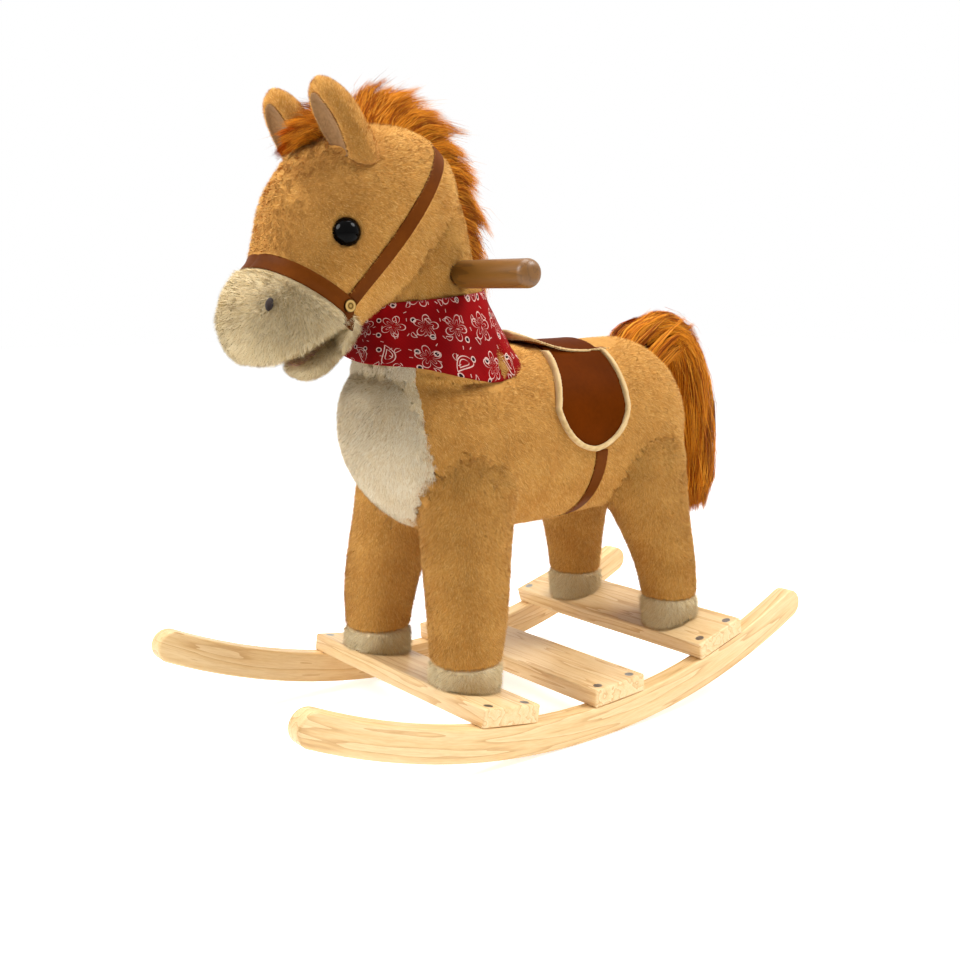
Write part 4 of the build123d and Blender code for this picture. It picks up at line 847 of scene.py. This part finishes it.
# Linings, saddle and bridle, with voxels in mm
PIPING_SWELL = 0.9
for node, voxel, material, body in (
    ("ear_linings", 1.0, EAR_LINING_PAINTED_SHADE, "horse"),
    ("mouth_lining", 1.0, MOUTH, "horse"),
    ("jaw_lining", 1.0, MOUTH, "jaw"),
    ("saddle_flaps", 1.8, FLAP_LEATHER, "horse"),
    ("saddle_piping", 1.0, BINDING, "horse"),
    ("girth_strap", 1.0, STRAP_LEATHER, "horse"),
    ("noseband", 0.8, STRAP_LEATHER, "horse"),
    ("headstall", 0.8, STRAP_LEATHER, "horse"),
):
    mesh = remeshed([node], voxel, 3)
    if node == "ear_linings":
        fill_ear(mesh)
    if node == "saddle_piping":
        grown(mesh, PIPING_SWELL)
    piece = show(f"{node}_sewn", mesh, [material], body, [node])


# Seat: swollen by cloth under pressure, then flattened above its rim
PUFF_PRESSURE, PUFF_STEPS = 4.0, 20


def puffed(mesh, cap):
    """mesh swollen by cloth under pressure, each point moved cap mm at most."""
    before = numbers(mesh)[0]
    obj = bpy.data.objects.new("puff", mesh)
    scene.collection.objects.link(obj)
    sim = obj.modifiers.new("cloth", "CLOTH")
    sim.settings.use_pressure = True
    sim.settings.uniform_pressure_force = PUFF_PRESSURE
    sim.settings.effector_weights.gravity = 0.0
    for step in range(1, PUFF_STEPS + 1):
        scene.frame_set(step)
    graph = bpy.context.evaluated_depsgraph_get()
    made = bpy.data.meshes.new_from_object(obj.evaluated_get(graph))
    bpy.data.objects.remove(obj)
    scene.frame_set(1)
    move = numbers(made)[0] - before
    far = np.linalg.norm(move, axis=1, keepdims=True)
    move_to(made, before + move * np.minimum(1, cap * MM / np.maximum(far, 1e-9)))
    return made


SEAT_CROWN = 0.12
SEAT_RIM = MM * np.array([(-152, 379), (-136, 378), (-100, 376), (-50, 378), (-16, 389), (-7, 393)])
seat_mesh = remeshed(["saddle_seat"], 4.0, 3)
seat_mesh = puffed(seat_mesh, 2.5)
places, _, _ = numbers(seat_mesh)
rim = np.interp(places[:, 0], SEAT_RIM[:, 0], SEAT_RIM[:, 1])
places[:, 2] = np.where(places[:, 2] > rim, rim + SEAT_CROWN * (places[:, 2] - rim), places[:, 2])
move_to(seat_mesh, places)
seat_mesh = worked(seat_mesh, ("SUBSURF", {"levels": 1, "render_levels": 1}))
seat = show("saddle_seat_cover", seat_mesh, [PAINTED_LIT_SEAT_LEATHER], "horse", ["saddle_seat"])

# Bandana: a folded band draped on the neck and shoulders, with the print laid round it. Each edge is x, z,
# lean, front, back, half width, folds and lifts (turn, width, height). The cloth gives way to the plush
# under it by up to a slack in mm that varies with the turn from the front
FOOT_LIFTS = ((-0.75, 0.55, 16.0), (2.35, 0.3, 9.0), (0.9, 0.35, 3.0), (-2.2, 0.5, 8.0))
BANDANA_EDGES = ((86, 354, 80, 87, 68, 79, 6.0, FOOT_LIFTS), (99, 432, 96, 67, 66, 61, 0.8, ()))
SLACK_TURNS, SLACKS = (0, 1.2, 1.7, 2.1, 2.5, 3.14), (12, 12, 4, 4, 22, 26)
CLOTH_GAP = 3.0
OUTSIDE = 0.2
PRINT_RADIUS = 78.0


def bandana_edge(turn, x, z, lean, front, back, half, fold, lifts):
    """The points of one edge, for each turn."""
    out = 0.6 * fold * (1 - np.cos(7 * turn)) * np.abs(np.cos(turn / 2 + 0.4))
    ahead = np.array([np.sin(np.radians(lean)), 0, np.cos(np.radians(lean))])
    reach = np.where(np.cos(turn) > 0, front, back)
    rise = z + 0 * turn
    for at, wide, high in lifts:
        rise = rise + high * np.exp(-((turn - at) / wide) ** 2)
    middle = np.concatenate([x + 0 * rise, 0 * rise, rise], axis=2)
    return MM * ((reach + out) * np.cos(turn) * ahead + (half + out) * np.sin(turn) * SIDEWAYS + middle)


def draped(turn, points):
    """The sheet's points moved out to lie over the plush, with ripples."""
    skins = [bpy.data.objects[f"{node}_skin"].data for node in ("neck_plush", "body_plush", "chest_panel")]
    under = search_tree(skins)
    middles = points.mean(axis=0, keepdims=True)
    off = points - middles
    reach = np.linalg.norm(off, axis=2)
    outward = off / reach[:, :, None]
    plush = np.zeros_like(reach)
    for i, j in np.ndindex(*reach.shape):
        middle, way = Vector(middles[0, j]), Vector(outward[i, j])
        hit, _, _, gap = under.ray_cast(middle + OUTSIDE * way, -way)
        plush[i, j] = OUTSIDE - gap if hit is not None else 0.0
    slack = np.interp(np.abs(turn[:, :, 0]), SLACK_TURNS, SLACKS)
    held = np.minimum(plush + CLOTH_GAP * MM, reach + slack * MM)
    drape = np.maximum(reach, held)
    for _ in range(4):
        soft = (np.roll(drape, 1, 0) + np.roll(drape, -1, 0) + 2 * drape) / 4
        soft[:, 1:-1] = (soft[:, :-2] + soft[:, 2:] + 2 * soft[:, 1:-1]) / 4
        drape = np.maximum(soft, held)
    flat = points.reshape(-1, 3)
    ripple = (0.6 * swell(flat, 0.05) + 0.4 * swell(flat + 0.2, 0.021)).reshape(reach.shape)
    return middles + (drape + MM * np.maximum(ripple, -0.8))[:, :, None] * outward


def bandana_sheet(turns=260, rows=36):
    turn = np.linspace(-np.pi, np.pi, turns, endpoint=False)[:, None, None]
    share = np.linspace(0, 1, rows)[None, :, None]
    foot, top = (bandana_edge(turn, *edge) for edge in BANDANA_EDGES)
    places = draped(turn, foot + (top - foot) * share)
    shape = bmesh.new()
    layer = shape.loops.layers.uv.new("cloth")
    verts = [[shape.verts.new(places[i, j]) for j in range(rows)] for i in range(turns)]
    around = PRINT_RADIUS * turn[:, 0, 0]
    step = around[1] - around[0]
    height = 1000 * np.linalg.norm(top - foot, axis=2).mean() * share[0, :, 0]
    for i in range(turns):
        after = (i + 1) % turns
        for j in range(rows - 1):
            face = shape.faces.new((verts[i][j], verts[after][j], verts[after][j + 1], verts[i][j + 1]))
            face.smooth = True
            for loop, (du, dv) in zip(face.loops, ((0, 0), (1, 0), (1, 1), (0, 1)), strict=True):
                loop[layer].uv = (around[i] + du * step, height[j + dv])
    return worked(as_mesh("bandana", shape), ("SOLIDIFY", {"thickness": 1.0 * MM, "offset": 0.0}))


cloth_mesh = bandana_sheet()
bandana = show("bandana_cloth", cloth_mesh, [COTTON], "horse", ["bandana"])

# Strap ends below the studs, lying on the cheek
SIDES = {"left": 1, "right": -1}
STRAP_END_LENGTH, STRAP_END_HALF = 23 * MM, 6.2 * MM
STRAP_THICKNESS, STRAP_LIFT = 2.0 * MM, 1.4 * MM


def strap_end(name, side):
    """Rows of points laid on the cheek, rounded at the lower end, and given the leather's thickness."""
    under = solid_tree(["head_plush", "muzzle_plush"])
    start_at = Vector((0.2135, 0.057 * side, 0.421))
    down, across = Vector((-0.15, 0, -0.99)), Vector((0.99, 0, -0.15))
    shape = bmesh.new()
    rows = []
    for i in range(11):
        share = i / 10
        half = STRAP_END_HALF * max(1 - (max(share - 0.5, 0) / 0.5) ** 2, 0.02) ** 0.5
        row = []
        for j in range(7):
            wanted = start_at + STRAP_END_LENGTH * share * down + (j / 3 - 1) * half * across
            spot, normal, _, _ = under.find_nearest(wanted)
            row.append(shape.verts.new(spot + STRAP_LIFT * normal))
        rows.append(row)
    for upper, lower in zip(rows, rows[1:], strict=False):
        for j in range(6):
            shape.faces.new((upper[j], upper[j + 1], lower[j + 1], lower[j])).smooth = True
    bmesh.ops.recalc_face_normals(shape, faces=shape.faces)
    mesh = worked(as_mesh("strap_end", shape), ("SOLIDIFY", {"thickness": STRAP_THICKNESS, "offset": 0.0}))
    show(name, mesh, [STRAP_LEATHER], "horse")


for word, side in SIDES.items():
    strap_end(f"strap_end_{word}", side)


# Nostrils: small felt ovals on the muzzle's fur
NOSTRIL_LONG, NOSTRIL_WIDE, NOSTRIL_LIFT = 6.0 * MM, 3.6 * MM, 7.5 * MM


def nostril(name, side):
    """A disc with its rim bent down into the fur."""
    graph = bpy.context.evaluated_depsgraph_get()
    muzzle = BVHTree.FromObject(bpy.data.objects["muzzle_plush_skin"], graph)
    spot, normal, _, _ = muzzle.find_nearest(Vector((0.284, 0.045 * side, 0.426)))
    along = Vector((-0.25, 0, 1)) - Vector((-0.25, 0, 1)).dot(normal) * normal
    along.normalize()
    across = normal.cross(along)
    rings, steps = 6, 28
    shape = bmesh.new()
    top = shape.verts.new(spot + NOSTRIL_LIFT * normal)
    rows = []
    for ring in range(1, rings + 1):
        s = ring / rings
        middle = spot + NOSTRIL_LIFT * (1 - 0.55 * s ** 3) * normal
        angles = [TURN * step / steps for step in range(steps)]
        runs = [(NOSTRIL_LONG * s * float(np.cos(a)), NOSTRIL_WIDE * s * float(np.sin(a))) for a in angles]
        rows.append([shape.verts.new(middle + run * along + wide * across) for run, wide in runs])
    for step in range(steps):
        after = (step + 1) % steps
        shape.faces.new((top, rows[0][step], rows[0][after]))
        for inner, outer in zip(rows, rows[1:], strict=False):
            shape.faces.new((inner[step], outer[step], outer[after], inner[after]))
    for face in shape.faces:
        face.smooth = True
    bmesh.ops.recalc_face_normals(shape, faces=shape.faces)
    show(name, as_mesh("nostril", shape), [FELT], "horse")


for word, side in SIDES.items():
    nostril(f"nostril_{word}", side)

# Camera as in the photograph
LOOK = (-0.609, -0.776, -0.163)
view = bpy.data.cameras.new("camera")
view.sensor_width = 36.0
view.lens = 43.16
camera = bpy.data.objects.new("camera", view)
camera.location = (0.7505, 0.9277, 0.4378)
camera.rotation_euler = Vector(LOOK).to_track_quat("-Z", "Y").to_euler()
scene.collection.objects.link(camera)
scene.camera = camera

# Floor: matt white paper, just below the rockers, that the camera sees as white
FLOOR_GAP = 0.5 * MM
floor_mesh = bpy.data.meshes.new("floor")
floor_mesh.from_pydata([(-8, -8, 0), (8, -8, 0), (8, 8, 0), (-8, 8, 0)], [], [(0, 1, 2, 3)])
floor = bpy.data.objects.new("floor", floor_mesh)
floor.location.z = -FLOOR_GAP
scene.collection.objects.link(floor)
paper, paper_tree, paper_shader, paper_place = start("white_paper")
grain = put(paper_tree, "TexNoise", {"Vector": paper_place, "Scale": 1000 / 333, **SOFT}, "Fac")
seen = put(paper_tree, "LightPath", {}, "Is Camera Ray")
feed(paper_tree, paper_shader, {
    "Base Color": put(paper_tree, "ValToRGB", {"Fac": grain}, stops=[(0.3, "#f6f6f5"), (0.7, "#fafafa")]),
    "Roughness": 0.9, "Specular IOR Level": 0.0, "Emission Color": (1, 1, 1, 1),
    "Emission Strength": put(paper_tree, "MapRange", {"Value": seen, "To Min": 0.24, "To Max": 0.62}),
})
floor_mesh.materials.append(paper)

# World: soft light from behind the horse and from above, and white to the camera, to mirrors and to glass
world = bpy.data.worlds.new("studio")
scene.world = world
world.use_nodes = True
sky = world.node_tree
towards = put(sky, "TexCoord", {}, "Generated")
ahead = put(sky, "VectorMath", {0: towards, 1: LOOK}, "Value", operation="DOT_PRODUCT")
height = put(sky, "SeparateXYZ", {"Vector": towards}, "Z")
from_behind = {"Value": ahead, "From Min": -0.2, "From Max": 1.0, "To Max": 0.6}
from_above = {"Value": height, "To Max": 0.3}
glow = 0.16
for reading in (from_behind, from_above):
    glow = put(sky, "Math", {0: glow, 1: put(sky, "MapRange", reading)}, operation="ADD")
path = put(sky, "LightPath", {}).node.outputs
for ray in ("Is Camera Ray", "Is Glossy Ray", "Is Transmission Ray"):
    glow = put(sky, "Math", {0: glow, 1: path[ray]}, operation="MAXIMUM")
feed(sky, sky.nodes["Background"], {"Color": (1, 1, 1, 1), "Strength": glow})


# Studio lamps
def softbox(name, place, target, size, power):
    light = bpy.data.lights.new(name, "AREA")
    light.shape = "DISK"
    light.size = size
    light.energy = power
    lamp = bpy.data.objects.new(name, light)
    lamp.location = place
    lamp.rotation_euler = (Vector(target) - Vector(place)).to_track_quat("-Z", "Y").to_euler()
    scene.collection.objects.link(lamp)


softbox("key", (-1.0, 1.1, 2.2), (0, 0, 0.35), 1.1, 52)
softbox("top", (-0.2, -0.3, 2.3), (0, 0, 0.35), 1.2, 26)
softbox("face", (0.9, -0.2, 0.95), (0.2, 0, 0.46), 0.5, 8.5)

scene.view_settings.view_transform = "Standard"
